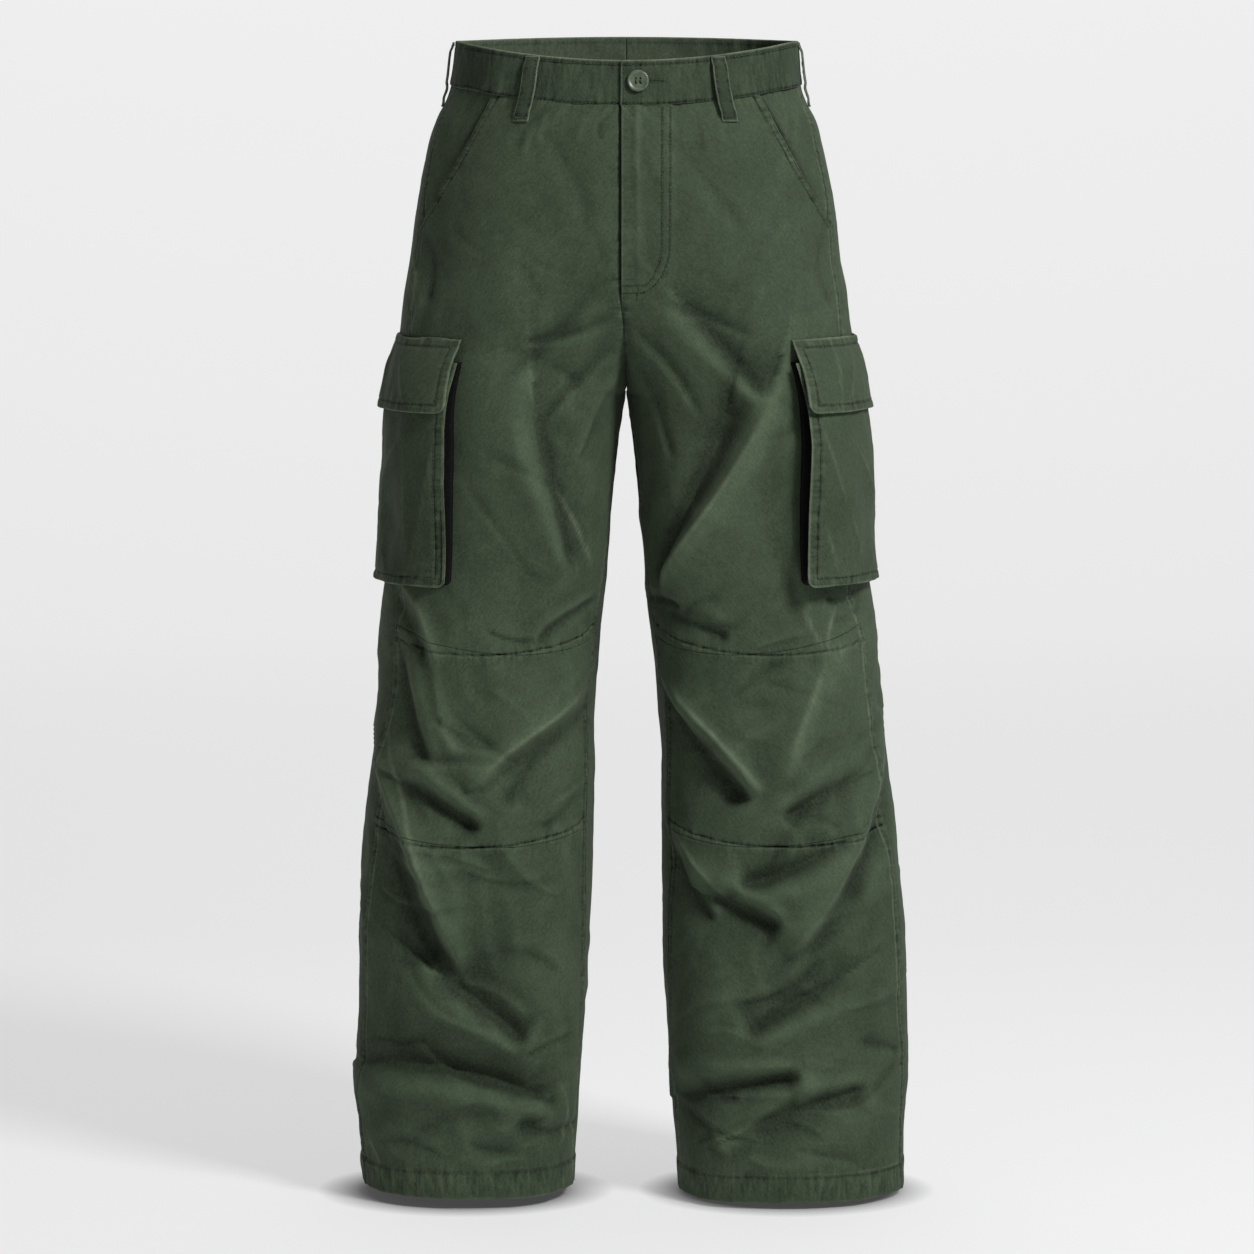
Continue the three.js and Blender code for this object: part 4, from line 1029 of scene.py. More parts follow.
def waistbandHalf(name, side):
    v = bandValues
    start, end = (v["leftEnd"], -90 + v["backSeam"]) if side > 0 else (v["rightEnd"], 270 - v["backSeam"])
    perDegree = v["radius"] * radians
    down, t = gridShares(lines["bandHeight"], 1.7, 0.95 * abs(end - start) * perDegree, 2.3)
    down = (lines["bandHeight"] - 2 * lines["halfGap"]) * down
    angle = mix(start, end, t)
    z, lift = bandPlace(side, angle, down)
    arc = angle * v["arcRadius"] * radians
    fromFoot = lines["bandHeight"] - down
    fromEnd = np.abs(angle - start) * perDegree
    height = 1.5 * noise(arc / 34, z / 40, 12) + 0.35 * noise(arc / 9 + z / 40, z / 14, 13)
    height = height + 0.5 * noise(arc / 7, z / 60, 19)
    height = height + 0.35 * (0.3 - np.abs(noise(arc / 13 + z / 30, z / 26, 20)))
    ribs = highest(bump(down - 4, 7), 1.2 * bump(fromFoot - 2, 6))
    height = height + v["rib"] * noise(arc / 3.4, z / 60, 14) * ribs
    height = height - 0.4 * bump(down - v["topStitch"], 1.0) - 0.4 * bump(fromFoot - v["footStitch"], 1.0)
    height = height - 0.5 * bump(down, 0.8) - 0.35 * bump(fromFoot, 0.8)
    points, normals = waist(angle, z, lift + height)
    # crest partly follows the height, as painted light and shade, and partly varies at random; seam is
    # painted shade in the stitch grooves
    marks = {
        "worn": highest(bump(down - 0.5, 0.9), 0.4 * bump(fromFoot - 0.4, 0.7),
                        0.6 * bump(fromEnd - 0.4, 0.8)),
        "ribAcross": highest(0.45 + 0.4 * bump(down - 4, 5), 0.95 * bump(fromFoot - 2, 6)),
        "crest": 0.15 * height + 0.1 * noise(arc / 30, z / 25, 15),
        "seam": highest(bump(down - v["topStitch"], 0.9), bump(fromFoot - v["footStitch"], 1.1)),
    }
    if side > 0:
        # painted shade in the buttonhole's slit
        slit = bump(z - v["holeZ"], 1.0) * (angle > v["holeEnd"]) * (angle < v["holeStart"])
        marks["seam"] = highest(marks["seam"], 1.4 * slit)
    wall(name, points, np.stack([arc, z], -1), marks, v["wall"], normals)


# Belt loops, folded strips that stand off the band between their bartacks.
loopValues = {
    "width": 15.0, "length": 57.0, "topInset": 1.5, "wall": 1.5, "edgeStitch": 2.4,
    "places": {  # angle round the waist, lean and stand-off
        "beltLoop_frontLeft": [58.5, 1.1, 3.0],
        "beltLoop_frontRight": [122, -1.1, 3.0],
        "beltLoop_sideLeft": [1, 0, 2.0],
        "beltLoop_sideRight": [179, 0, 2.0],
        "beltLoop_back": [-90, 0, 3.2],
    },
}


def loopPlace(angle, lean, standOff, s, across):
    v, band = loopValues, bandValues
    here = angle - lean * s + across / band["radius"] / radians
    sine = math.sin(angle * radians)
    run = v["length"] * s
    z = float(waistTopAt(abs(sine), sine > 0)) - v["topInset"] - run
    onBand = 1 - ease(lines["bandHeight"] - 5, lines["bandHeight"] + 1, run)
    arch = standOff * ease(0.02, 0.17, s) * (1 - ease(0.83, 0.98, s))
    extra = band["onTop"] * ease(60, 78, here) if 0 < angle < 91 else 0
    return here, z, (band["lift"] + extra) * onBand + 0.5 + arch + v["wall"]


def beltLoop(name, angle, lean, standOff):
    v = loopValues
    s, across = gridShares(v["length"], 1.2, v["width"], 0.8)
    across = v["width"] * (across - 0.5)
    here, z, lift = loopPlace(angle, lean, standOff, s, across)
    fromEdge = v["width"] / 2 - np.abs(across)
    fromEnd = v["length"] * np.minimum(s, 1 - s)
    height = 0.35 * noise(across / 3.2 + angle, z / 2.6, 16) * bump(fromEdge - v["edgeStitch"], 2.2)
    height = height - 0.35 * bump(fromEdge - v["edgeStitch"], 0.8) - 0.35 * bump(fromEdge, 0.8)
    height = height - 0.3 * bump(fromEnd - 3.2, 1.6) + 0.25 * noise(across / 9 + angle, z / 12, 17)
    height = height + 0.3 * bump(np.abs(across) - 0.5, 2.2)
    points, normals = waist(here, z, lift + height)
    # seam is painted shade in the edge stitch grooves
    marks = {
        "worn": highest(bump(fromEdge - 0.4, 0.8), 0.8 * bump(fromEnd - 0.4, 0.8)),
        "rib": bump(fromEdge - v["edgeStitch"], 1.8), "ribAcross": 0.3 * bump(fromEnd - 3, 2),
        "crest": 0.1 * noise(across / 8, z / 12, 18), "seam": bump(fromEdge - v["edgeStitch"], 0.7),
    }
    wall(name, points, np.stack([across + angle * 3, z], -1), marks, v["wall"], normals)


# The fly's outer layer: the stitched J on the left front, feathered so that only its sewing shows.
flyValues = {
    "lift": 0.95, "feather": 0.34, "under": 0.14, "bendZ": -178.0, "footWidth": 7.0,
    "stitchInset": 1.4, "stitchSpacing": 7.2,
}


def flyEdge(z):
    bend = np.clip((flyValues["bendZ"] - z) / (flyValues["bendZ"] - lines["flyFoot"]), 0, 1)
    return flyValues["footWidth"] + (sewing["flyWidth"] - flyValues["footWidth"]) * np.sqrt(1 - bend ** 2)


def flyPiece(name):
    v = flyValues
    s, t = gridShares(180, 2.0, 42, 1.5)
    foot = lines["flyFoot"] + 1
    z = mix(waistSeamAt(0.0, True) - 1, foot, s)
    start = innerAt(1, z) + 0.3
    x = mix(start, flyEdge(z) + v["stitchInset"], t)
    z = np.where(s < 0.02, np.minimum(z, waistSeamAt(x, True) - 0.6), z)
    angle = angleOfX(1, z, x)
    fromJ = np.minimum(flyEdge(z) + v["stitchInset"] - x, z - foot + 2)
    fromFold = x - start
    stitches = [fromJ - v["stitchInset"], fromJ - v["stitchInset"] - v["stitchSpacing"]]
    lift = mix(v["feather"], v["lift"], ease(0, 3.2, fromJ)) - sum(0.35 * bump(d, 0.9) for d in stitches)
    points, marks, uv = cloth(1, z, angle, lift)
    ribs = highest(*[bump(d, 2.5) for d in stitches])
    marks["worn"] = highest(marks["worn"], 0.4 * bump(fromFold - 0.5, 0.9), 0.08 * ribs)
    # painted shade in the J's two stitch grooves
    marks["seam"] = highest(*[bump(d, 0.9) for d in stitches])
    marks["rib"] = highest(0.5 * ribs, 0.35 * ease(0, 4, fromFold) * (1 - ease(9, 13, fromFold)))
    wall(name, points, uv, marks, np.maximum(lift - v["under"], 0.14), outwardOf(1, z, angle))


# The bellows pocket on each thigh, by angle round the leg and by height.
pocket = {
    "mouth": -283, "foot": -480, "flapTop": -263, "flapFoot": -327,
    "frontAngleTop": 62.5, "frontAngleFoot": 68.5, "backAngle": -50,
    "flapAngleTop": 59, "flapAngleFoot": 64.5, "overhang": 2,
    "faceHeight": 197, "faceWidth": 215.0, "flapHeight": 66.0, "flapWidth": 222.0,
    "bellowsIn": 13, "wall": 1.3, "faceGap": 0.5, "flapWall": 1.9, "bellowsWall": 1.1, "bellowsCorner": 5.0,
    "cornerRadius": 6.5, "faceHem": 7.6, "flapStitch": 7.4, "lyingGap": 0.8, "mouthShare": 0.4,
}
pocketDepthTable = table("angle depth", [[70, 24.5], [50, 20.5], [25, 12], [0, 7.5], [-25, 9.5], [-50, 14]])
# Light pressed creases, on the faces and flaps, in the front view.
pocketCreases = {
    -1: {
        "face": [[-169, -350, -178, -402, -193, -470], [-197, -350, -196, -412, -197, -468],
                 [-200, -352, -214, -388, -219, -440], [-216, -445, -214, -462, -209, -476]],
        "flap": [[-196, -270, -197, -300, -195, -324], [-203, -270, -212, -290, -218, -322]],
    },
    1: {
        "face": [[171, -333, 183, -372, 196, -408], [198, -348, 217, -392, 220, -416],
                 [176, -424, 181, -446, 187, -468], [198, -416, 204, -440, 210, -464]],
        "flap": [[197, -270, 198, -300, 196, -324], [180, -268, 186, -290, 190, -320]],
    },
}


def pocketShare(z):
    return np.clip((pocket["mouth"] - z) / (pocket["mouth"] - pocket["foot"]), 0, 1)


def pocketDepth(angle, z):
    v = pocket
    depth = valueAt(pocketDepthTable, "depth", angle, "angle")
    share = pocketShare(z)
    return depth * mix(v["mouthShare"], 1.0, ease(-0.15, 0.42, share)) * (1 - 0.16 * ease(0.5, 1.0, share))


# Adds pressed creases to a grid whose points are known, found by where they lie in the front view.
def pressCreases(points, uv, normals, marks, curves):
    height = np.zeros(points.shape[:2])
    visible = points[..., 1] < 25
    t = np.linspace(0, 1, 9)
    weights = [(1 - t) * (1 - 2 * t), 4 * t * (1 - t), t * (2 * t - 1)]
    for k, ends in enumerate(curves):
        curve = 0
        for j in range(3):
            distance = (points[..., 0] - ends[2 * j]) ** 2 + (points[..., 2] - ends[2 * j + 1]) ** 2
            at = np.unravel_index(np.argmin(np.where(visible, distance, 1e9)), distance.shape)
            curve = curve + weights[j][:, None] * uv[at][None, :]
        distance, isLeft, along = fromCurve(curve[:, 0], curve[:, 1], uv[..., 0], uv[..., 1])
        end = np.sin(np.pi * mix(0.05, 0.95, along))
        soft = np.where(isLeft == (k % 2 == 0), 14.0, 3.2)
        height = height + 2.6 * np.exp(-(distance / soft) ** 1.2) * end
        # pale along the crease, partly as wear and partly as painted light
        marks["crease"] = highest(marks["crease"], 0.5 * bump(distance, 1.2) * end)
    return points + normals * height[..., None]


# Marks of a pocket face's or flap's edges: wear at the edge, painted shade in the stitch groove, and a random
# tone.
def pocketMarks(fromEdge, stitchInset, arc, z):
    stitched = fromEdge - stitchInset
    return {
        "worn": highest(0.75 * bump(fromEdge - 0.4, 0.75), 0.2 * bump(stitched - 1.2, 1.0)),
        "seam": bump(stitched, 0.9), "crease": 0 * z, "crest": 0.25 * noise(arc / 40, z / 60, 21),
    }


# How much a foot edge rises towards its rounded corners.
def cornerRise(near, radius):
    return np.where(near < radius, radius - np.sqrt(np.maximum(0, radius ** 2 - (radius - near) ** 2)), 0)


def faceAngle(z, t):
    v = pocket
    return mix(mix(v["frontAngleTop"], v["frontAngleFoot"], pocketShare(z)), v["backAngle"], t)


def faceLift(angle, z):
    return pocketDepth(angle, z) + pocket["faceGap"] + pocket["wall"]


def cargoFace(name, side):
    v = pocket
    s, t = gridShares(v["faceHeight"], 2.4, v["faceWidth"], 2.5)
    angle = faceAngle(mix(v["mouth"], v["foot"], s), t)
    fromFront = t * v["faceWidth"]
    near = np.minimum(fromFront, v["faceWidth"] - fromFront)
    foot = v["foot"] + cornerRise(near, v["cornerRadius"])
    z = mix(v["mouth"], foot, s)
    fromFoot = z - foot
    fromEdge = np.minimum(near, fromFoot)
    shift = 51 if side > 0 else 61
    perDegree = 105 * radians
    arc = angle * perDegree
    height = 2.0 * noise(arc / 34, z / 60, shift) + 0.9 * noise(arc / 15, z / 30, shift + 1)
    height = height + 0.8 * noise(arc / 8.5, z / 60, shift + 2) * np.exp(-fromFoot / 22)
    height = height + 0.45 * noise(z / 4.6, arc / 60, shift + 3) * bump(fromFront - 5, 6)
    height = height - 1.1 * ease(0, 14, 14 - np.minimum(near, 14))
    height = height - 0.5 * bump(fromEdge - v["faceHem"], 1.0) - 0.5 * bump(fromEdge, 0.8)
    height = height - 1.6 * bump(arc - 30 * perDegree, 14) * np.sin(np.pi * s)
    lift = faceLift(angle, z) + height * ease(0, 1.2, fromEdge + 0.7)
    points, legMarks, uv = cloth(side, z, angle, lift, "plain")
    marks = pocketMarks(fromEdge, v["faceHem"], arc, z)
    marks["rib"] = 0.9 * bump(fromFront - 4.5, 5)
    marks["ribAcross"] = 0.9 * bump(fromFoot - 5, 7)
    hint = outwardOf(side, z, angle)
    points = pressCreases(points, uv, hint, marks, pocketCreases[side]["face"])
    wall(name, points, uv, marks, v["wall"], hint)


def flapAngle(s, t):
    v = pocket
    return mix(mix(v["flapAngleTop"], v["flapAngleFoot"], s), v["backAngle"] - v["overhang"], t)


# The flap lies on the leg at its top and rises over the face.
def flapLift(angle, z, s):
    v = pocket
    out = pocketDepth(angle, np.minimum(z, v["mouth"])) + 2.7 + 3.2 * s
    share = ease(-0.12, 0.42, s) - ease(-0.12, 0.42, 0) * (1 - s)
    return mix(v["lyingGap"], out, share) + v["flapWall"]


def cargoFlap(name, side):
    v = pocket
    s, t = gridShares(v["flapHeight"], 1.9, v["flapWidth"], 2.4)
    near = np.minimum(t, 1 - t) * v["flapWidth"]
    foot = v["flapFoot"] + cornerRise(near, v["cornerRadius"] + 1)
    z = mix(v["flapTop"], foot, s)
    angle = flapAngle(s, t)
    fromTop = v["flapHeight"] * s
    fromFoot = z - foot
    fromEdge = np.minimum(near, fromFoot)
    shift = 71 if side > 0 else 81
    arc = angle * 108 * radians
    height = 1.0 * noise(arc / 30, z / 34, shift) + 0.45 * noise(arc / 13, z / 20, shift + 1)
    ribs = highest(bump(fromFoot - 5, 8), bump(fromTop - 4, 6))
    height = height + 0.5 * noise(arc / 4.6, z / 60, shift + 2) * ribs
    height = height + 0.4 * noise(z / 4.6, arc / 60, shift + 3) * bump(near - 5, 6)
    height = height - 0.5 * bump(fromEdge - v["flapStitch"], 1.0) - 0.35 * bump(fromEdge - 1.9, 0.9)
    height = height - 0.7 * bump(fromTop - v["flapStitch"], 1.2) - 0.5 * bump(fromTop, 0.8)
    height = height - 0.6 * bump(fromEdge, 0.8)
    lift = flapLift(angle, z, s) + height * ease(0, 1, fromTop + 0.3)
    points, legMarks, uv = cloth(side, z, angle, lift, "plain")
    marks = pocketMarks(np.minimum(fromEdge, fromTop), v["flapStitch"], arc, z)
    marks["rib"] = 0.9 * bump(near - 4.5, 5)
    marks["ribAcross"] = 0.9 * highest(bump(fromFoot - 5, 6.5), bump(fromTop - 4, 4.5))
    hint = outwardOf(side, z, angle)
    points = pressCreases(points, uv, hint, marks, pocketCreases[side]["flap"])
    wall(name, points, uv, marks, v["flapWall"], hint)


# The middle line of the bellows strip, down the front edge, along the foot and up the back edge, as places
# in millimetres round the leg and by height, and the way into the pocket at each place.
def bellowsPath(mmPerDegree):
    v = pocket
    radius = v["bellowsCorner"]
    corners = np.array([[v["frontAngleTop"], v["mouth"]], [v["frontAngleFoot"], v["foot"]],
                        [v["backAngle"], v["foot"]], [v["backAngle"], v["mouth"]]]) * [mmPerDegree, 1]
    ways = np.array([[-1.0, 0], [0, 1], [1, 0]])
    path, way = [], []
    for k in range(3):
        a, b = corners[k], corners[k + 1]
        length = np.linalg.norm(b - a)
        start = 0 if k == 0 else radius
        end = length if k == 2 else length - radius
        for d in list(np.arange(start, end, 2.4)) + [end]:
            path.append(a + (b - a) / length * d)
            way.append(ways[k])
        if k < 2:
            centre = b + (ways[k] + ways[k + 1]) * radius
            for turn in np.linspace(0, 90, 7)[1:-1] * radians:
                out = -(ways[k] * math.cos(turn) + ways[k + 1] * math.sin(turn))
                path.append(centre + out * radius)
                way.append(-out)
    return np.array(path), np.array(way)


# Folded inwards: how far in, and how far out from the leg, from its sewn edge to the pocket face.
bellowsProfile = table("inset rise", [
    [0.0, 0.0], [0.1, 0.05], [0.1, 0.13], [0.75, 0.3], [1.0, 0.46], [0.95, 0.52], [0.6, 0.68], [0.18, 0.86],
    [0.15, 0.96], [0.15, 1.0],
])


def cargoBellows(name, side):
    v = pocket
    mmPerDegree = 108 * radians
    path, way = bellowsPath(mmPerDegree)
    corners = np.arange(len(bellowsProfile["inset"]))
    fine = np.linspace(0, corners[-1], 34)
    inset = np.interp(fine, corners, bellowsProfile["inset"]) * v["bellowsIn"]
    rise = np.interp(fine, corners, bellowsProfile["rise"])[None, :]
    wave = 0.8 * noise(path.sum(1) / 17, path[:, 0] / 40, 91)
    inset = inset[None, :] + wave[:, None] * np.sin(np.pi * rise)
    z = path[:, 1:2] + way[:, 1:2] * inset
    angle = (path[:, 0:1] + way[:, 0:1] * inset) / mmPerDegree
    depth = pocketDepth(path[:, 0] / mmPerDegree, path[:, 1]) - 0.3
    lift = mix(v["lyingGap"], depth[:, None], rise)
    points, legMarks, legUv = cloth(side, z, angle, lift, "plain")
    run = np.concatenate([[0], np.cumsum(np.linalg.norm(np.diff(path, axis=0), axis=1))])
    uv = np.stack([run[:, None] + 0 * lift, lift * 1.4], -1)
    at = fine[None, :] + 0 * lift
    # the strip lies in a narrow gap: crest and seam paint it dark as painted shade, with lighter worn lines
    # along its two folds
    marks = {
        "worn": highest(bump(at - 6, 1.6), 0.6 * bump(at - 32, 1.5)), "crest": -1.8 + 0 * lift,
        "seam": 0.9 - 0.8 * highest(bump(at - 5, 1.2), bump(at - 33, 1.0)),
    }
    # square to the strip, away from the pocket's middle
    hereX, hereY = section(side, z, angle)
    nextX, nextY = section(side, z, angle - way[:, 0:1] * 2)
    hint = np.stack([nextX - hereX, nextY - hereY, -way[:, 1:2] * 3 + 0 * nextX], -1)
    wall(name, points, uv, marks, v["bellowsWall"], hint)


for side, word in ((1, "left"), (-1, "right")):
    hipFacing("hipFacing_" + word, side)
    waistbandHalf("waistband_" + word, side)
    cargoBellows("cargoBellows_" + word, side)
    cargoFace("cargoFace_" + word, side)
    cargoFlap("cargoFlap_" + word, side)
for loopName, place in loopValues["places"].items():
    beltLoop(loopName, *place)
flyPiece("flyLayer")
print("stage: waistband, loops, fly and pockets built")


# The waist button: a turned four-hole disc with a raised rim, sewn on through its holes.
buttonValues = {
    "x": 10.5, "z": -37.5, "radius": 9.5, "thick": 3.2, "dish": 0.9, "hole": 1.0, "spread": 2.0, "tilt": 8.0,
}


def buttonFrame():
    v = buttonValues
    angle = 90 - math.asin(v["x"] / float(outerAt(1, v["z"]))) / radians
    seat, normal = waist(angle, v["z"], bandValues["lift"] + bandValues["onTop"])
    tilt = v["tilt"] * radians
    origin = np.array([v["x"], seat[1] - 0.5, v["z"]])
    out = np.array([0, -math.cos(tilt), math.sin(tilt)])
    right = np.array([1.0, 0, 0])
    up = np.cross(right, out) * -1
    return origin, right, up, out


def waistButton(name):
    v = buttonValues
    radius, thick = v["radius"], v["thick"]
    dished = thick - v["dish"]
    profile = [
        [0, 0], [radius - 1.6, 0], [radius - 0.7, 0.25], [radius - 0.15, 0.8], [radius, 1.5],
        [radius - 0.1, 2.2], [radius - 0.5, thick - 0.25], [radius - 1.1, thick],
        [radius - 1.8, thick - 0.12], [radius - 2.5, dished + 0.12], [radius - 3.1, dished],
        [radius - 5.5, dished - 0.12], [0, dished - 0.12],
    ]
    shape = bmesh.new()
    around = 72
    rings = []
    for r, h in profile[1:-1]:
        turns = [2 * math.pi * k / around for k in range(around)]
        rings.append([shape.verts.new((r * math.cos(a), r * math.sin(a), h)) for a in turns])
    foot = shape.verts.new((0, 0, profile[0][1]))
    top = shape.verts.new((0, 0, profile[-1][1]))
    for k in range(around):
        n = (k + 1) % around
        shape.faces.new((foot, rings[0][n], rings[0][k]))
        shape.faces.new((top, rings[-1][k], rings[-1][n]))
        for low, high in zip(rings, rings[1:]):
            shape.faces.new((low[k], low[n], high[n], high[k]))
    disc = bpy.data.meshes.new("buttonDisc")
    shape.to_mesh(disc)
    shape.free()
    drills = bmesh.new()
    for dx, dy in ((1, 1), (-1, 1), (1, -1), (-1, -1)):
        moved = Matrix.Translation((dx * v["spread"], dy * v["spread"], v["thick"] / 2))
        bmesh.ops.create_cone(drills, cap_ends=True, segments=24, radius1=v["hole"], radius2=v["hole"],
                              depth=3 * v["thick"], matrix=moved)
    drillMesh = bpy.data.meshes.new("buttonDrills")
    drills.to_mesh(drillMesh)
    drills.free()
    built = bpy.data.objects.new(name, disc)
    cutter = bpy.data.objects.new("buttonCutter", drillMesh)
    for made in (built, cutter):
        bpy.context.scene.collection.objects.link(made)
    cut = built.modifiers.new("holes", "BOOLEAN")
    cut.operation = "DIFFERENCE"
    cut.solver = "EXACT"
    cut.object = cutter
    drilled = bpy.data.meshes.new_from_object(built.evaluated_get(bpy.context.evaluated_depsgraph_get()))
    built.modifiers.clear()
    bpy.data.objects.remove(cutter)
    origin, right, up, out = buttonFrame()
    place = Matrix([[right[i], up[i], out[i], origin[i]] for i in range(3)] + [[0, 0, 0, 1]])
    drilled.transform(Matrix.Scale(0.001, 4) @ place)
    built.data = drilled
    for polygon in drilled.polygons:
        polygon.use_smooth = True
    smooth = built.modifiers.new("edges", "BEVEL")
    smooth.width = 0.00012
    smooth.segments = 2
    smooth.limit_method = "ANGLE"
    smooth.angle_limit = 50 * radians
    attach(built, "root")
    builtPieces[name] = built


# Stitches: short pinched threads, each one sunk a little in the cloth, joined by region.
stitchValues = {"length": 2.75, "pitch": 3.5, "width": 0.62, "height": 0.36, "sink": 0.05}
stitchRuns = {}


def addStitches(region, points, normals, values=None):
    v = dict(stitchValues, **(values or {}))
    steps = np.linalg.norm(np.diff(points, axis=0), axis=1)
    run = np.concatenate([[0], np.cumsum(steps)])
    count = int((run[-1] - v["length"]) / v["pitch"]) + 1
    if count < 1:
        return
    centre = (run[-1] - (count - 1) * v["pitch"]) / 2 + np.arange(count) * v["pitch"]

    def along(values, where):
        return np.stack([np.interp(where, run, values[:, i]) for i in range(3)], -1)

    def unit(values):
        return values / (np.linalg.norm(values, axis=-1, keepdims=True) + 1e-9)

    half = v["length"] / 2
    middle = along(points, centre)
    first, last = along(points, centre - half), along(points, centre + half)
    normal = unit(along(normals, centre))
    across = unit(np.cross(last - first, normal))
    rings = []
    for base, wide, high in ((first, 0.35, -0.25), (middle, 1.0, 1.0), (last, 0.35, -0.25)):
        out = normal * v["height"] * high
        side = across * v["width"] * wide / 2
        low = normal * -v["sink"]
        rings.append(np.stack([base + side + low, base + out, base - side + low, base - normal * 0.25], 1))
    stitchRuns.setdefault(region, []).append(np.concatenate(rings, 1))


def buildStitches(region):
    rings = np.concatenate(stitchRuns[region])
    faces = []
    for k in (0, 4):
        for j in range(4):
            n = (j + 1) % 4
            faces.append([k + j, k + n, k + 4 + n, k + 4 + j])
    faces += [[3, 2, 1, 0], [8, 9, 10, 11]]
    quads = (np.array(faces) + 12 * np.arange(len(rings))[:, None, None]).reshape(-1, 4)
    meshObject("stitches_" + region, rings.reshape(-1, 3), quads)


# A line on the cloth of a leg, as points and outward directions.
def legLine(side, z, angle, lift, panel):
    return cloth(side, z, angle, lift, panel)[0], outwardOf(side, z, angle)


# The angle at which a point lies a distance along the cloth from a seam.
def angleBeside(side, z, angle, distance):
    z, angle = np.broadcast_arrays(np.asarray(z, float), np.asarray(angle, float))
    wanted = arcAt(side, z, angle) + distance
    found = np.empty(z.shape)
    for k in range(len(z)):
        arcs = arcAt(side, z[k], arcAngles)
        found[k] = np.interp(wanted[k], arcs + 1e-6 * arcAngles, arcAngles)
    return found


# A row of stitches beside a seam, at a distance from it along the cloth.
def sewBeside(region, side, z, seam, distance, panel="front"):
    addStitches(region, *legLine(side, z, angleBeside(side, z, seam, distance), 0, panel))


def sewLegs():
    for side, word in ((1, "left"), (-1, "right")):
        region = "leg_" + word
        hem = hemAt(side)
        for distance in (sewing["firstStitch"], sewing["secondStitch"]):
            z = np.linspace(-165, hem + 1, 700)
            sewBeside(region, side, z, valueAt(form, "sideSeam", z), distance)
            z = np.linspace(lines["crotch"] - 4, hem + 1, 600)
            sewBeside(region, side, z, valueAt(form, "inseam", z), -distance)
            z = np.linspace(-46, -160, 120)
            sewBeside(region, side, z, valueAt(form, "sideSeam", z), distance, "facing")
            z = np.linspace(-54, lines["slantFootZ"] + 4, 120)
            sewBeside(region, side, z, slantAngle(side, z), distance + 0.1)
            if side > 0:
                z = np.linspace(lines["flyFoot"] - 6, lines["crotch"] + 6, 100)
                sewBeside(region, side, z, valueAt(form, "inseam", z), -distance)
                z = np.linspace(-40, lines["crotch"] + 6, 260)
                sewBeside(region, side, z, -valueAt(form, "inseam", z), distance, "back")
        around = np.linspace(0, 1, 700)
        z = hem + lines["hemHeight"] + 0 * around
        seam, inseam = valueAt(form, "sideSeam", z), valueAt(form, "inseam", z)
        addStitches(region, *legLine(side, z, mix(seam, inseam, around), 0, "front"))
        addStitches(region, *legLine(side, z, mix(inseam - 360, seam, around), 0, "back"))


def sewWaist():
    v, fly = bandValues, flyValues
    for side, start, end in ((1, v["leftEnd"] - 1.2, -89.6), (-1, v["leftEnd"] + 1.0, 269.6)):
        angle = np.linspace(start, end, 500)
        for down in (v["topStitch"], lines["bandHeight"] - 2 * lines["halfGap"] - v["footStitch"]):
            z, lift = bandPlace(side, angle, down)
            addStitches("waist", *waist(angle, z, lift - 0.15))
    # across the lapped end, and the fly's two J lines
    down = np.linspace(3, 37, 40)
    angle = 90.7 + 0 * down
    z, lift = bandPlace(1, angle, down)
    addStitches("waist", *waist(angle, z, lift - 0.05))
    straight = np.linspace(-62, fly["bendZ"], 60)
    bent = mix(fly["bendZ"], lines["flyFoot"] + 1.6, np.sin(np.linspace(0.02, 1, 60) * math.pi / 2))
    for inset in (0.0, fly["stitchSpacing"]):
        z = np.concatenate([straight, bent])
        x = flyEdge(z)
        if inset:
            dx, dz = np.gradient(x), np.gradient(z)
            size = np.hypot(dx, dz)
            x, z = x + inset * dz / size, z - inset * dx / size
            x, z = x[x > 3], z[x > 3]
        row = legLine(1, z, angleOfX(1, z, x), 0.8, "front")
        addStitches("waist", *row, {"length": 2.2, "pitch": 3.0, "width": 0.75})
    # bartacks: dense stitches side by side
    tack = {"length": 1.7, "pitch": 1.9, "width": 0.55, "height": 0.5}
    for tackX, tackZ, dx, dz in ((34.5, -206, 6.0, 4.5), (11.0, -221, 0.0, 9.0)):
        for share in np.linspace(-0.5, 0.5, 11):
            x = tackX + dx * share + np.array([-0.85, 0.85])
            z = tackZ + dz * share + np.zeros(2)
            addStitches("waist", *legLine(1, z, angleOfX(1, z, x), 1.15, "front"), tack)


def sewLoops():
    v = loopValues
    edge = v["width"] / 2 - v["edgeStitch"]
    row = {"length": 2.3, "pitch": 3.0, "width": 0.55}
    tack = {"length": 1.7, "pitch": 1.9, "width": 0.62, "height": 0.45}
    for place in v["places"].values():
        for across in (-edge, edge):
            s = np.linspace(0.03, 0.97, 80)
            here, z, lift = loopPlace(*place, s, across + 0 * s)
            addStitches("waist", *waist(here, z, lift - 0.2), row)
        for end in (0.055, 0.945):
            s = end + np.array([-0.9, 0.9]) / v["length"]
            for across in 0.72 * np.arange(-7, 8):
                here, z, lift = loopPlace(*place, s, across + 0 * s)
                addStitches("waist", *waist(here, z, lift + 0.1), tack)


# One stitch of the buttonhole, between two points given by x and height.
def sewAtHole(x, z, lift, values):
    angle = 90 - np.arcsin(x / outerAt(1, z)) / radians
    addStitches("buttonhole", *waist(angle, z, bandLiftAt(1, angle) + lift), values)


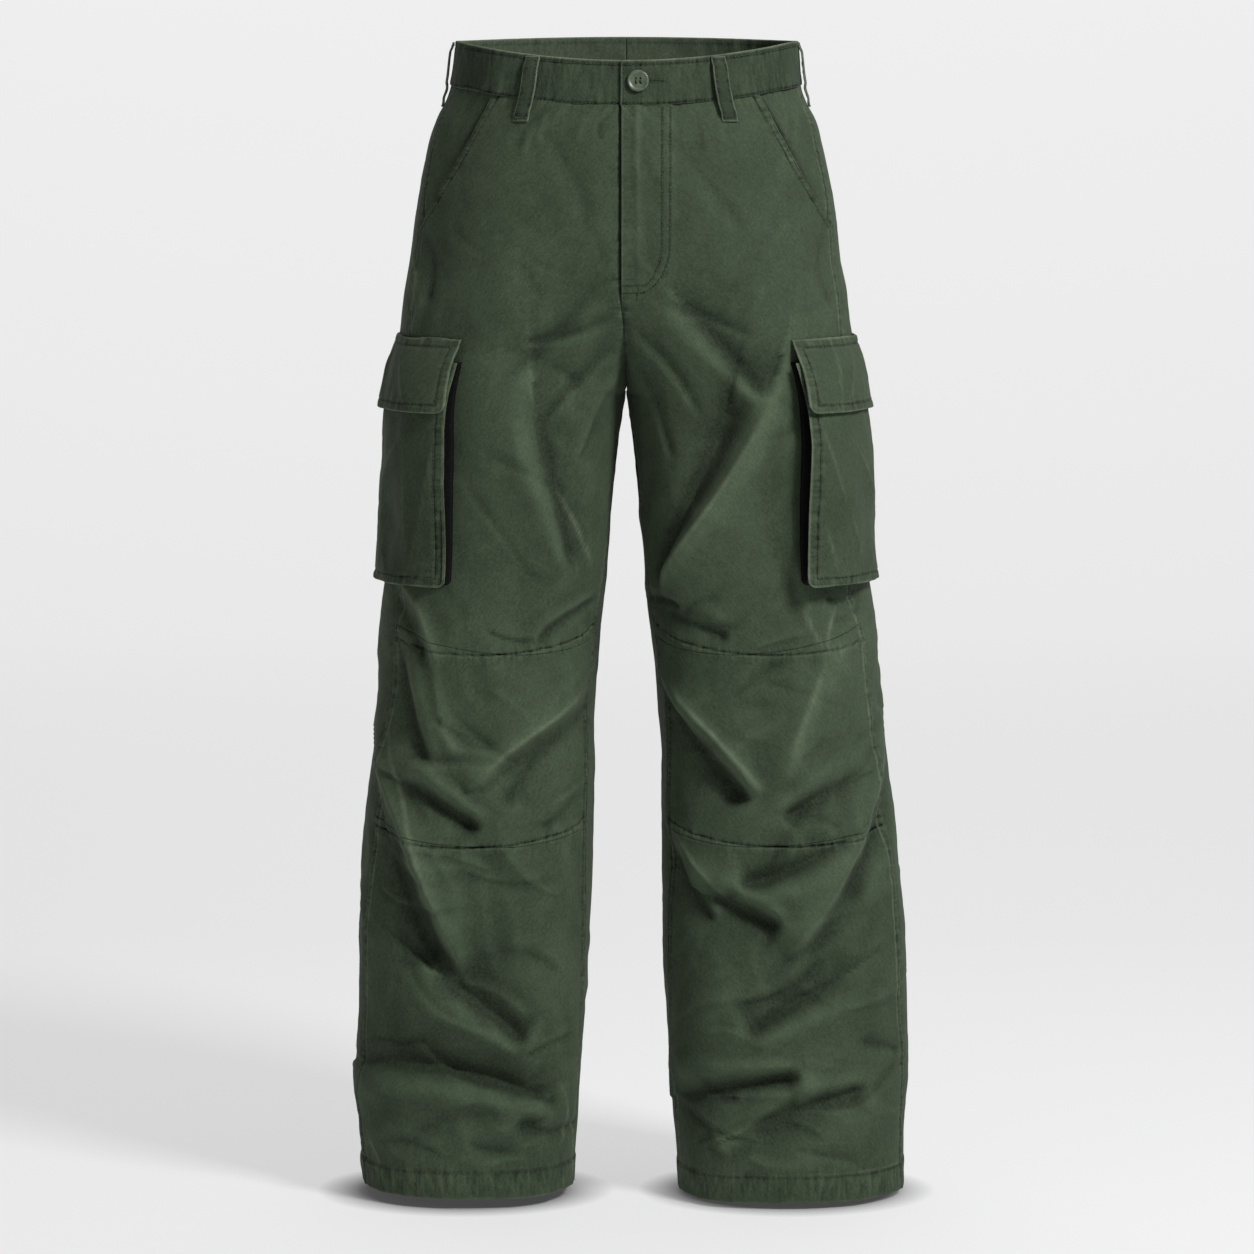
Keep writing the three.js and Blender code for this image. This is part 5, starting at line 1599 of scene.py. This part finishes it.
def sewButtonhole():
    middle, start, end = bandValues["holeZ"], 21.5, 32.5
    for dz in (1.15, -1.15):
        for x in np.arange(start, end, 0.62):
            z = middle + dz + np.array([-0.95, 0.95])
            sewAtHole(x, z, 0.25, {"length": 1.8, "pitch": 2, "width": 0.62, "height": 0.5})
    for z in np.arange(middle - 2.4, middle + 2.5, 0.6):
        x = end + np.array([-0.2, 1.9])
        sewAtHole(x, z + 0 * x, 0.3, {"length": 2.0, "pitch": 2.2, "width": 0.6, "height": 0.5})


def sewButton():
    v = buttonValues
    origin, right, up, out = buttonFrame()
    thread = {"length": 3.9, "pitch": 6, "width": 0.5, "height": 0.7, "sink": 0.1}
    t = np.linspace(-1, 1, 9)
    height = v["thick"] - v["dish"] - 0.1 + 0.55 * (1 - t ** 2) - 0.5 * np.abs(t) ** 6
    for dx in (-1, 1):
        for shift in (-0.35, 0.0, 0.35):
            middle = origin + right * (dx * v["spread"] + shift)
            points = middle + up * v["spread"] * t[:, None] + out * height[:, None]
            addStitches("button", points, 0 * points + out, thread)


def sewFace(region, side, s, t):
    s, t = np.broadcast_arrays(s, t)
    z = mix(pocket["mouth"], pocket["foot"], s)
    angle = faceAngle(z, t)
    addStitches(region, *legLine(side, z, angle, faceLift(angle, z), "plain"))


def sewFlap(region, side, s, t, raised=0.0):
    s, t = np.broadcast_arrays(s, t)
    z = mix(pocket["flapTop"], pocket["flapFoot"], s)
    angle = flapAngle(s, t)
    addStitches(region, *legLine(side, z, angle, flapLift(angle, z, s) + raised, "plain"))


# Each pocket face and flap is stitched down its front edge, along its foot and up its back edge, and the
# flap along its top too.
def sewPockets():
    v = pocket
    faceIn, faceFoot = v["faceHem"] / v["faceWidth"], 1 - v["faceHem"] / v["faceHeight"]
    flapIn, flapFoot = v["flapStitch"] / v["flapWidth"], 1 - v["flapStitch"] / (v["flapTop"] - v["flapFoot"])
    down, along = np.linspace(0, 1, 160), np.linspace(0, 1, 120)
    for side, word in ((1, "left"), (-1, "right")):
        region = "pocket_" + word
        sewFace(region, side, down, faceIn)
        sewFace(region, side, faceFoot, mix(faceIn, 1 - faceIn, down))
        sewFace(region, side, down, 1 - faceIn)
        sewFlap(region, side, mix(0.15, flapFoot, along), flapIn)
        sewFlap(region, side, flapFoot, mix(flapIn, 1 - flapIn, along))
        sewFlap(region, side, mix(0.15, flapFoot, along), 1 - flapIn)
        sewFlap(region, side, v["flapStitch"] / v["flapHeight"], mix(0.01, 0.99, along), -0.4)


waistButton("waistButton")
sewLegs()
sewWaist()
sewLoops()
sewButtonhole()
sewButton()
sewPockets()
for region in stitchRuns:
    buildStitches(region)
print("stage: button and", sum(len(np.concatenate(r)) for r in stitchRuns.values()), "stitches built")


# sRGB hex to the linear colour that Blender's sockets take.
def linear(hexText):
    channels = [int(hexText[i:i + 2], 16) / 255 for i in (1, 3, 5)]
    return [c / 12.92 if c <= 0.04045 else ((c + 0.055) / 1.055) ** 2.4 for c in channels] + [1.0]


# Adds one node: its name in the tree, and its kind without the prefix. A setting is a property or an input
# of the node. A link names the node that it comes from, with the output after a colon if it isn't the first.
def addNode(tree, name, kind, settings, links):
    made = tree.nodes.new("ShaderNode" + kind)
    made.name = name
    for key, value in settings.items():
        if key == "stops":
            for k, (place, shade) in enumerate(value):
                made.color_ramp.elements[k].position = place
                made.color_ramp.elements[k].color = (shade, shade, shade, 1)
        elif isinstance(key, str) and hasattr(made, key):
            setattr(made, key, value)
        else:
            made.inputs[key].default_value = value
    for key, source in links.items():
        sourceName, _, output = source.partition(":")
        output = output or "0"
        output = int(output) if output.isdigit() else output
        tree.links.new(tree.nodes[sourceName].outputs[output], made.inputs[key])


def newMaterial(name, rows):
    made = bpy.data.materials.new(name)
    made.use_nodes = True
    made.node_tree.nodes.clear()
    for row in rows:
        addNode(made.node_tree, *row)
    return made


# Cotton twill, piece-dyed and washed: matt, with faint slanting lines, a mottle from washing, and pale
# pressed creases, partly wear and partly painted light; puckered seams painted lighter on their tops, partly
# as wear and partly as painted light, and darker between as painted shade.
# Its lines lie about 0.6 mm apart on the real cloth; they are drawn at 2 mm, to show at all.
twillValues = {
    "base": "#3d4938", "deep": "#2e392a", "washed": "#525e4a", "worn": "#8d9880", "inside": "#4d5848",
    "mottle": 22.0, "wash": 5.0, "patch": 95.0, "grain": 400.0, "twillPitch": 0.0020, "twillAngle": 63.0,
    "ribShort": 250.0, "ribLong": 55.0, "wornShare": 0.42, "creaseShare": 0.28,
    "roughness": 0.86, "specular": 0.20, "sheen": 0.05, "sheenRoughness": 0.45, "ior": 1.47, "bump": 0.55,
}


def cottonTwill(name, values):
    v = dict(twillValues, **values)
    mixed = {"data_type": "RGBA", "clamp_factor": True}
    rows = [
        ["place", "UVMap", {"uv_map": "clothMap"}, {}],
        ["solid", "TexCoord", {}, {}],
        ["wash", "TexNoise", {"Scale": v["wash"], "Detail": 4.0}, {"Vector": "solid:Object"}],
        ["mottle", "TexNoise", {"Scale": v["mottle"], "Detail": 6.0, "Roughness": 0.62},
         {"Vector": "solid:Object"}],
        ["patch", "TexNoise", {"Scale": v["patch"], "Detail": 3.0}, {"Vector": "solid:Object"}],
        ["grain", "TexNoise", {"Scale": v["grain"], "Detail": 4.0, "Roughness": 0.75},
         {"Vector": "solid:Object"}],
        ["slant", "Mapping", {"vector_type": "TEXTURE", "Rotation": (0, 0, v["twillAngle"] * radians)},
         {"Vector": "place"}],
        ["twill", "TexWave", {"Scale": 0.3142 / v["twillPitch"], "Distortion": 1.6, "Detail": 2.0,
                                        "Detail Scale": 1.5, "bands_direction": "Y"}, {"Vector": "slant"}],
        ["slubPlace", "Mapping", {"Scale": (150.0, 600.0, 1.0)}, {"Vector": "slant"}],
        ["slub", "TexNoise", {"Scale": 1.0, "Detail": 2.0}, {"Vector": "slubPlace"}],
        # seam puckers: short along the seam and long away from it, for seams that run down and for level ones
        ["ribPlace", "Mapping", {"Scale": (v["ribLong"], v["ribShort"], 1.0)}, {"Vector": "place"}],
        ["ribNoise", "TexNoise", {"Scale": 1.0, "Detail": 1.5, "Distortion": 0.5}, {"Vector": "ribPlace"}],
        ["ribEven", "Math", {"operation": "SUBTRACT", 1: 0.5}, {0: "ribNoise"}],
        ["acrossPlace", "Mapping", {"Scale": (v["ribShort"], v["ribLong"], 1.0)}, {"Vector": "place"}],
        ["acrossNoise", "TexNoise", {"Scale": 1.0, "Detail": 1.5, "Distortion": 0.5},
         {"Vector": "acrossPlace"}],
        ["acrossEven", "Math", {"operation": "SUBTRACT", 1: 0.5}, {0: "acrossNoise"}],
    ]
    for key in ("worn", "rib", "ribAcross", "crease", "crest", "seam", "inside"):
        rows.append([key, "Attribute", {"attribute_name": key}, {}])
    rows += [
        ["ribDown", "Math", {"operation": "MULTIPLY"}, {0: "ribEven", 1: "rib:Fac"}],
        ["ribs", "Math", {"operation": "MULTIPLY_ADD"}, {0: "acrossEven", 1: "ribAcross:Fac", 2: "ribDown"}],
        ["mottleRamp", "ValToRGB", {"stops": [(0.32, 0.35), (0.68, 1.0)]}, {"Fac": "mottle"}],
        ["dyed", "Mix", {6: linear(v["deep"]), 7: linear(v["base"]), **mixed}, {0: "mottleRamp"}],
        ["washRamp", "ValToRGB", {"stops": [(0.38, 0.0), (0.66, 0.2)]}, {"Fac": "wash"}],
        ["washedOut", "Mix", {7: linear(v["washed"]), **mixed}, {0: "washRamp", 6: "dyed:2"}],
        ["turned", "Mix", {7: linear(v["inside"]), **mixed}, {0: "inside:Fac", 6: "washedOut:2"}],
    ]
    # crests and pucker tops are painted lighter, partly as wear and partly as painted light; hollows, the
    # lines between the puckers and seam grooves are painted darker as painted shade
    toneParts = [("crest:Fac", 0.45, 0.0), ("ribs", 1.9, 0.0), ("twill:Fac", 0.07, 0.5), ("slub", 0.50, 0.5),
                 ("grain", 1.30, 0.5), ("patch", 0.14, 0.5), ("seam:Fac", -0.8, 0.0)]
    start = 1.0 - sum(amount * centre for source, amount, centre in toneParts)
    for k, (source, amount, centre) in enumerate(toneParts):
        tone = ["tone%d" % (k + 1), "Math", {"operation": "MULTIPLY_ADD", 1: amount}, {0: source}]
        if k == 0:
            tone[2][2] = start
        else:
            tone[3][2] = "tone%d" % k
        rows.append(tone)
    lastTone = tone[0]
    rows += [
        ["toneColour", "CombineColor", {}, {0: lastTone, 1: lastTone, 2: lastTone}],
        ["toned", "Mix", {"blend_type": "MULTIPLY", 0: 1.0, **mixed}, {6: "turned:2", 7: "toneColour"}],
        ["patchRamp", "ValToRGB", {"stops": [(0.3, 0.45), (0.62, 1.0)]}, {"Fac": "patch"}],
        ["wornPatch", "Math", {"operation": "MULTIPLY"}, {0: "worn:Fac", 1: "patchRamp"}],
        ["wornShare", "Math", {"operation": "MULTIPLY", 1: v["wornShare"]}, {0: "wornPatch"}],
        ["wornOff", "Mix", {7: linear(v["worn"]), **mixed}, {0: "wornShare", 6: "toned:2"}],
        ["creasePatch", "Math", {"operation": "MULTIPLY"}, {0: "crease:Fac", 1: "patchRamp"}],
        ["creaseShare", "Math", {"operation": "MULTIPLY", 1: v["creaseShare"]}, {0: "creasePatch"}],
        ["pressed", "Mix", {7: linear(v["worn"]), **mixed}, {0: "creaseShare", 6: "wornOff:2"}],
        ["grainHeight", "Math", {"operation": "MULTIPLY", 1: 0.6}, {0: "grain"}],
        ["twillHeight", "Math", {"operation": "MULTIPLY_ADD", 1: 0.22}, {0: "twill:Fac", 2: "grainHeight"}],
        ["slubHeight", "Math", {"operation": "MULTIPLY_ADD", 1: 0.45}, {0: "slub", 2: "twillHeight"}],
        ["ribHeight", "Math", {"operation": "MULTIPLY_ADD", 1: 3.0}, {0: "ribs", 2: "slubHeight"}],
        ["raised", "Bump", {"Strength": v["bump"], "Distance": 0.0006}, {"Height": "ribHeight"}],
        ["rough", "Math", {"operation": "MULTIPLY_ADD", 1: 0.10, 2: v["roughness"] - 0.05}, {0: "mottle"}],
        ["shader", "BsdfPrincipled", {
            "Specular IOR Level": v["specular"], "IOR": v["ior"], "Sheen Weight": v["sheen"],
            "Sheen Roughness": v["sheenRoughness"], "Sheen Tint": linear("#c9d0c0"),
        }, {"Base Color": "pressed:2", "Roughness": "rough", "Normal": "raised"}],
        ["out", "OutputMaterial", {}, {"Surface": "shader"}],
    ]
    return newMaterial(name, rows)


# Spun polyester-cotton thread, near the cloth's colour but darker, as painted shade of stitches sunk in the
# cloth, with paler patches; a little smoother, with a fine twist.
threadValues = {
    "base": "#333d2e", "pale": "#4f5a46", "roughness": 0.75, "specular": 0.25, "twistPitch": 0.0009,
}


def spunThread(name, values):
    v = dict(threadValues, **values)
    return newMaterial(name, [
        ["solid", "TexCoord", {}, {}],
        ["patch", "TexNoise", {"Scale": 120.0, "Detail": 3.0}, {"Vector": "solid:Object"}],
        ["patchRamp", "ValToRGB", {"stops": [(0.4, 0.0), (0.7, 1.0)]}, {"Fac": "patch"}],
        ["colour", "Mix", {"data_type": "RGBA", 6: linear(v["base"]), 7: linear(v["pale"])},
         {0: "patchRamp"}],
        ["twist", "TexWave", {"Scale": 0.3142 / v["twistPitch"], "bands_direction": "DIAGONAL"},
         {"Vector": "solid:Object"}],
        ["raised", "Bump", {"Strength": 0.4, "Distance": 0.0001}, {"Height": "twist:Fac"}],
        ["shader", "BsdfPrincipled",
         {"Roughness": v["roughness"], "Specular IOR Level": v["specular"], "Sheen Weight": 0.1},
         {"Base Color": "colour:2", "Normal": "raised"}],
        ["out", "OutputMaterial", {}, {"Surface": "shader"}],
    ])


# Cast polyester resin, the stuff of waist buttons: dyed through, faintly clouded, turned and tumbled to a
# satin gloss that gives one soft highlight on the rim.
resinValues = {
    "base": "#434e3e", "cloud": "#586450", "roughness": 0.36, "ior": 1.55,
    "cloudScale": 210.0, "scratchScale": 900.0,
}


def polyesterResin(name, values):
    v = dict(resinValues, **values)
    return newMaterial(name, [
        ["solid", "TexCoord", {}, {}],
        ["clouds", "TexNoise", {"Scale": v["cloudScale"], "Detail": 5.0, "Distortion": 1.2},
         {"Vector": "solid:Object"}],
        ["cloudRamp", "ValToRGB", {"stops": [(0.35, 0.0), (0.7, 1.0)]}, {"Fac": "clouds"}],
        ["colour", "Mix", {"data_type": "RGBA", 6: linear(v["base"]), 7: linear(v["cloud"])},
         {0: "cloudRamp"}],
        ["scratches", "TexNoise", {"Scale": v["scratchScale"], "Detail": 2.0}, {"Vector": "solid:Object"}],
        ["rough", "Math", {"operation": "MULTIPLY_ADD", 1: 0.14, 2: v["roughness"] - 0.07},
         {0: "scratches"}],
        ["raised", "Bump", {"Strength": 0.12, "Distance": 0.0001}, {"Height": "scratches"}],
        ["shader", "BsdfPrincipled", {"IOR": v["ior"], "Coat Weight": 0.15, "Coat Roughness": 0.25},
         {"Base Color": "colour:2", "Roughness": "rough", "Normal": "raised"}],
        ["out", "OutputMaterial", {}, {"Surface": "shader"}],
    ])


# Seamless background paper with a painted glow (an emission) that keeps shadows on it pale and grows towards
# the back, taken away under the legs to paint a soft shadow there:
# matt, with a fibre too fine to see but for a faint unevenness.
def mattPaper(name, colour, glow, farGlow):
    return newMaterial(name, [
        ["solid", "TexCoord", {}, {}],
        ["fibre", "TexNoise", {"Scale": 300.0, "Detail": 2.0}, {"Vector": "solid:Object"}],
        ["share", "Math", {"operation": "MULTIPLY", 1: 0.06}, {0: "fibre"}],
        ["colour", "Mix", {"data_type": "RGBA", 6: linear(colour), 7: linear("#e2e2e4")},
         {0: "share"}],
        # painted shadow: the glow fades within each leg's footprint on the floor
        ["axes", "SeparateXYZ", {}, {"Vector": "solid:Object"}],
        ["bothLegs", "Math", {"operation": "ABSOLUTE"}, {0: "axes:X"}],
        ["underLegs", "CombineXYZ", {}, {"X": "bothLegs", "Y": "axes:Y"}],
        ["footprint", "Mapping",
         {"vector_type": "TEXTURE", "Location": (0.146, 0.0, 0.0), "Scale": (0.135, 0.125, 1.0)},
         {"Vector": "underLegs"}],
        ["nearness", "TexGradient", {"gradient_type": "SPHERICAL"}, {"Vector": "footprint"}],
        ["lower", "Math", {"operation": "LESS_THAN", 1: -1.0}, {0: "axes:Z"}],
        ["nearFloor", "Math", {"operation": "MULTIPLY"}, {0: "nearness:Fac", 1: "lower"}],
        ["unshaded", "ValToRGB", {"stops": [(0.0, 1.0), (0.3, 0.1)]}, {"Fac": "nearFloor"}],
        # painted light: the glow grows towards the back
        ["depth", "MapRange", {"From Min": 1.5, "From Max": 7.0, "To Min": glow, "To Max": farGlow},
         {"Value": "axes:Y"}],
        ["glow", "Math", {"operation": "MULTIPLY"}, {0: "unshaded", 1: "depth"}],
        ["shader", "BsdfPrincipled",
         {"Roughness": 0.95, "Specular IOR Level": 0.1, "Emission Color": linear("#ffffff")},
         {"Base Color": "colour:2", "Emission Strength": "glow"}],
        ["out", "OutputMaterial", {}, {"Surface": "shader"}],
    ])


clothMaterial = cottonTwill("cottonTwill", {})
# a darker copy of the twill for the waistband and belt loops: painted shade that holds down the light on the
# band's upturned face
bandPaintedShadeMaterial = cottonTwill("cottonTwillBandPaintedShade", {"base": "#2f3a2c", "deep": "#232d20", "ribShort": 300.0})
pocketMaterial = cottonTwill("cottonTwillPocket", {"base": "#3b4736", "ribShort": 230.0})
threadMaterial = spunThread("spunThread", {})
buttonMaterial = polyesterResin("polyesterResin", {})

# Per piece: its name, the CAD node that it stands for, its cloth, how it is held, what it hangs from or lies
# on, and its flat cut: width, length in metres and area in square metres.
pairTable = [  # made for both sides, with the cut of the left one first
    ["frontUpper", "front_upper", clothMaterial, "hung", "waistband",
     (0.318, 0.492, 0.1157), (0.318, 0.492, 0.1112)],
    ["frontKnee", "front_knee", clothMaterial, "hung", "frontUpper",
     (0.249, 0.198, 0.0443), (0.246, 0.198, 0.0432)],
    ["frontLower", "front_lower", clothMaterial, "hung", "frontKnee",
     (0.278, 0.343, 0.0913), (0.269, 0.339, 0.087)],
    ["back", "back", clothMaterial, "hung", "waistband",
     (0.460, 0.997, 0.3989), (0.460, 0.993, 0.3922)],
    ["hipFacing", "hip_facing", clothMaterial, "hung", "waistband",
     (0.079, 0.125, 0.0067), (0.079, 0.125, 0.0067)],
    ["waistband", "waistband", bandPaintedShadeMaterial, "stretched", "back",
     (0.446, 0.040, 0.0177), (0.473, 0.040, 0.0188)],
    ["cargoBellows", "cargo_bellows", pocketMaterial, "folded", "frontUpper",
     (0.613, 0.032, 0.0191), (0.613, 0.032, 0.019)],
    ["cargoFace", "cargo_face", pocketMaterial, "hung", "cargoBellows",
     (0.274, 0.197, 0.0538), (0.274, 0.197, 0.0534)],
    ["cargoFlap", "cargo_flap", pocketMaterial, "hung", "frontUpper",
     (0.292, 0.067, 0.0194), (0.292, 0.067, 0.0194)],
]
loopCut = (0.015, 0.058, 0.00086)
pieceTable = []
for name, nodeName, material, held, holder, *cuts in pairTable:
    for word, cut in zip(("_left", "_right"), cuts):
        pieceTable.append([name + word, nodeName + word, material, held, holder + word, cut])
pieceTable += [
    ["beltLoop_frontLeft", "belt_loop_front_left", bandPaintedShadeMaterial, "stretched", "waistband_left", loopCut],
    ["beltLoop_frontRight", "belt_loop_front_right", bandPaintedShadeMaterial, "stretched", "waistband_right", loopCut],
    ["beltLoop_sideLeft", "belt_loop_side_left", bandPaintedShadeMaterial, "stretched", "waistband_left", loopCut],
    ["beltLoop_sideRight", "belt_loop_side_right", bandPaintedShadeMaterial, "stretched", "waistband_right", loopCut],
    ["beltLoop_back", "belt_loop_back", bandPaintedShadeMaterial, "stretched", "waistband_left", loopCut],
    ["flyLayer", "fly", clothMaterial, "laid", "frontUpper_left", (0.042, 0.182, 0.007)],
]
for name, nodeName, material, held, holder, (width, length, area) in pieceTable:
    piece = builtPieces[name]
    piece.data.materials.append(material)
    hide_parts(nodeName)
builtPieces["waistButton"].data.materials.append(buttonMaterial)
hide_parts("button")
for region in stitchRuns:
    piece = builtPieces["stitches_" + region]
    piece.data.materials.append(threadMaterial)
print("stage: materials set")


# Studio: a pale sweep, a large soft key from the right, a weak fill from the left.
studioValues = {
    "floorZ": -1.0405, "sweepFront": -7.0, "sweepStart": 4.9, "sweepRadius": 2.2, "halfWidth": 7.5,
    "wallTop": 3.2,
    "paper": "#989899", "glow": 0.54, "farGlow": 0.72, "world": "#ffffff", "worldStrength": 0.06,
    "lights": {
        "keyLight": [(2.1, -2.3, 2.0), (0.05, 0, -0.6), 0.9, 150.0],
        "fillLight": [(-2.6, -2.6, 0.6), (0, 0, -0.6), 1.6, 7.0],
        "topLight": [(0.0, 0.5, 2.6), (0, 0.3, -1.0), 3.0, 36.0],
        "sweepLight": [(0.0, 2.2, 2.9), (0, 3.6, -1.0), 3.0, 20.0],
    },
}


def studioSweep(name, v):
    start, radius = v["sweepStart"], v["sweepRadius"]
    line = [[v["sweepFront"], v["floorZ"]]]
    for turn in np.linspace(0, 90, 25) * radians:
        line.append([start + radius * math.sin(turn), v["floorZ"] + radius * (1 - math.cos(turn))])
    line.append([start + radius, v["wallTop"]])
    vertices = [[x, y, z] for y, z in line for x in (-v["halfWidth"], v["halfWidth"])]
    faces = [[2 * k, 2 * k + 1, 2 * k + 3, 2 * k + 2] for k in range(len(line) - 1)]
    mesh = bpy.data.meshes.new(name)
    mesh.from_pydata(vertices, [], faces)
    for polygon in mesh.polygons:
        polygon.use_smooth = True
    sweep = bpy.data.objects.new(name, mesh)
    bpy.context.scene.collection.objects.link(sweep)
    mesh.materials.append(mattPaper("mattPaper", v["paper"], v["glow"], v["farGlow"]))


def studioLights(values):
    for name, (place, aim, size, power) in values["lights"].items():
        lampData = bpy.data.lights.new(name, "AREA")
        lampData.shape = "SQUARE"
        lampData.size = size
        lampData.energy = power
        lamp = bpy.data.objects.new(name, lampData)
        bpy.context.scene.collection.objects.link(lamp)
        lamp.location = place
        lamp.rotation_mode = "QUATERNION"
        lamp.rotation_quaternion = (Vector(aim) - Vector(place)).to_track_quat("-Z", "Y")
    world = bpy.data.worlds.new("studioAir")
    world.use_nodes = True
    world.node_tree.nodes.clear()
    addNode(world.node_tree, "air", "Background",
            {"Color": linear(values["world"]), "Strength": values["worldStrength"]}, {})
    addNode(world.node_tree, "out", "OutputWorld", {}, {"Surface": "air"})
    bpy.context.scene.world = world
    bpy.context.scene.view_settings.view_transform = "Standard"


studioSweep("studioSweep", studioValues)
studioLights(studioValues)
print("stage: studio set")
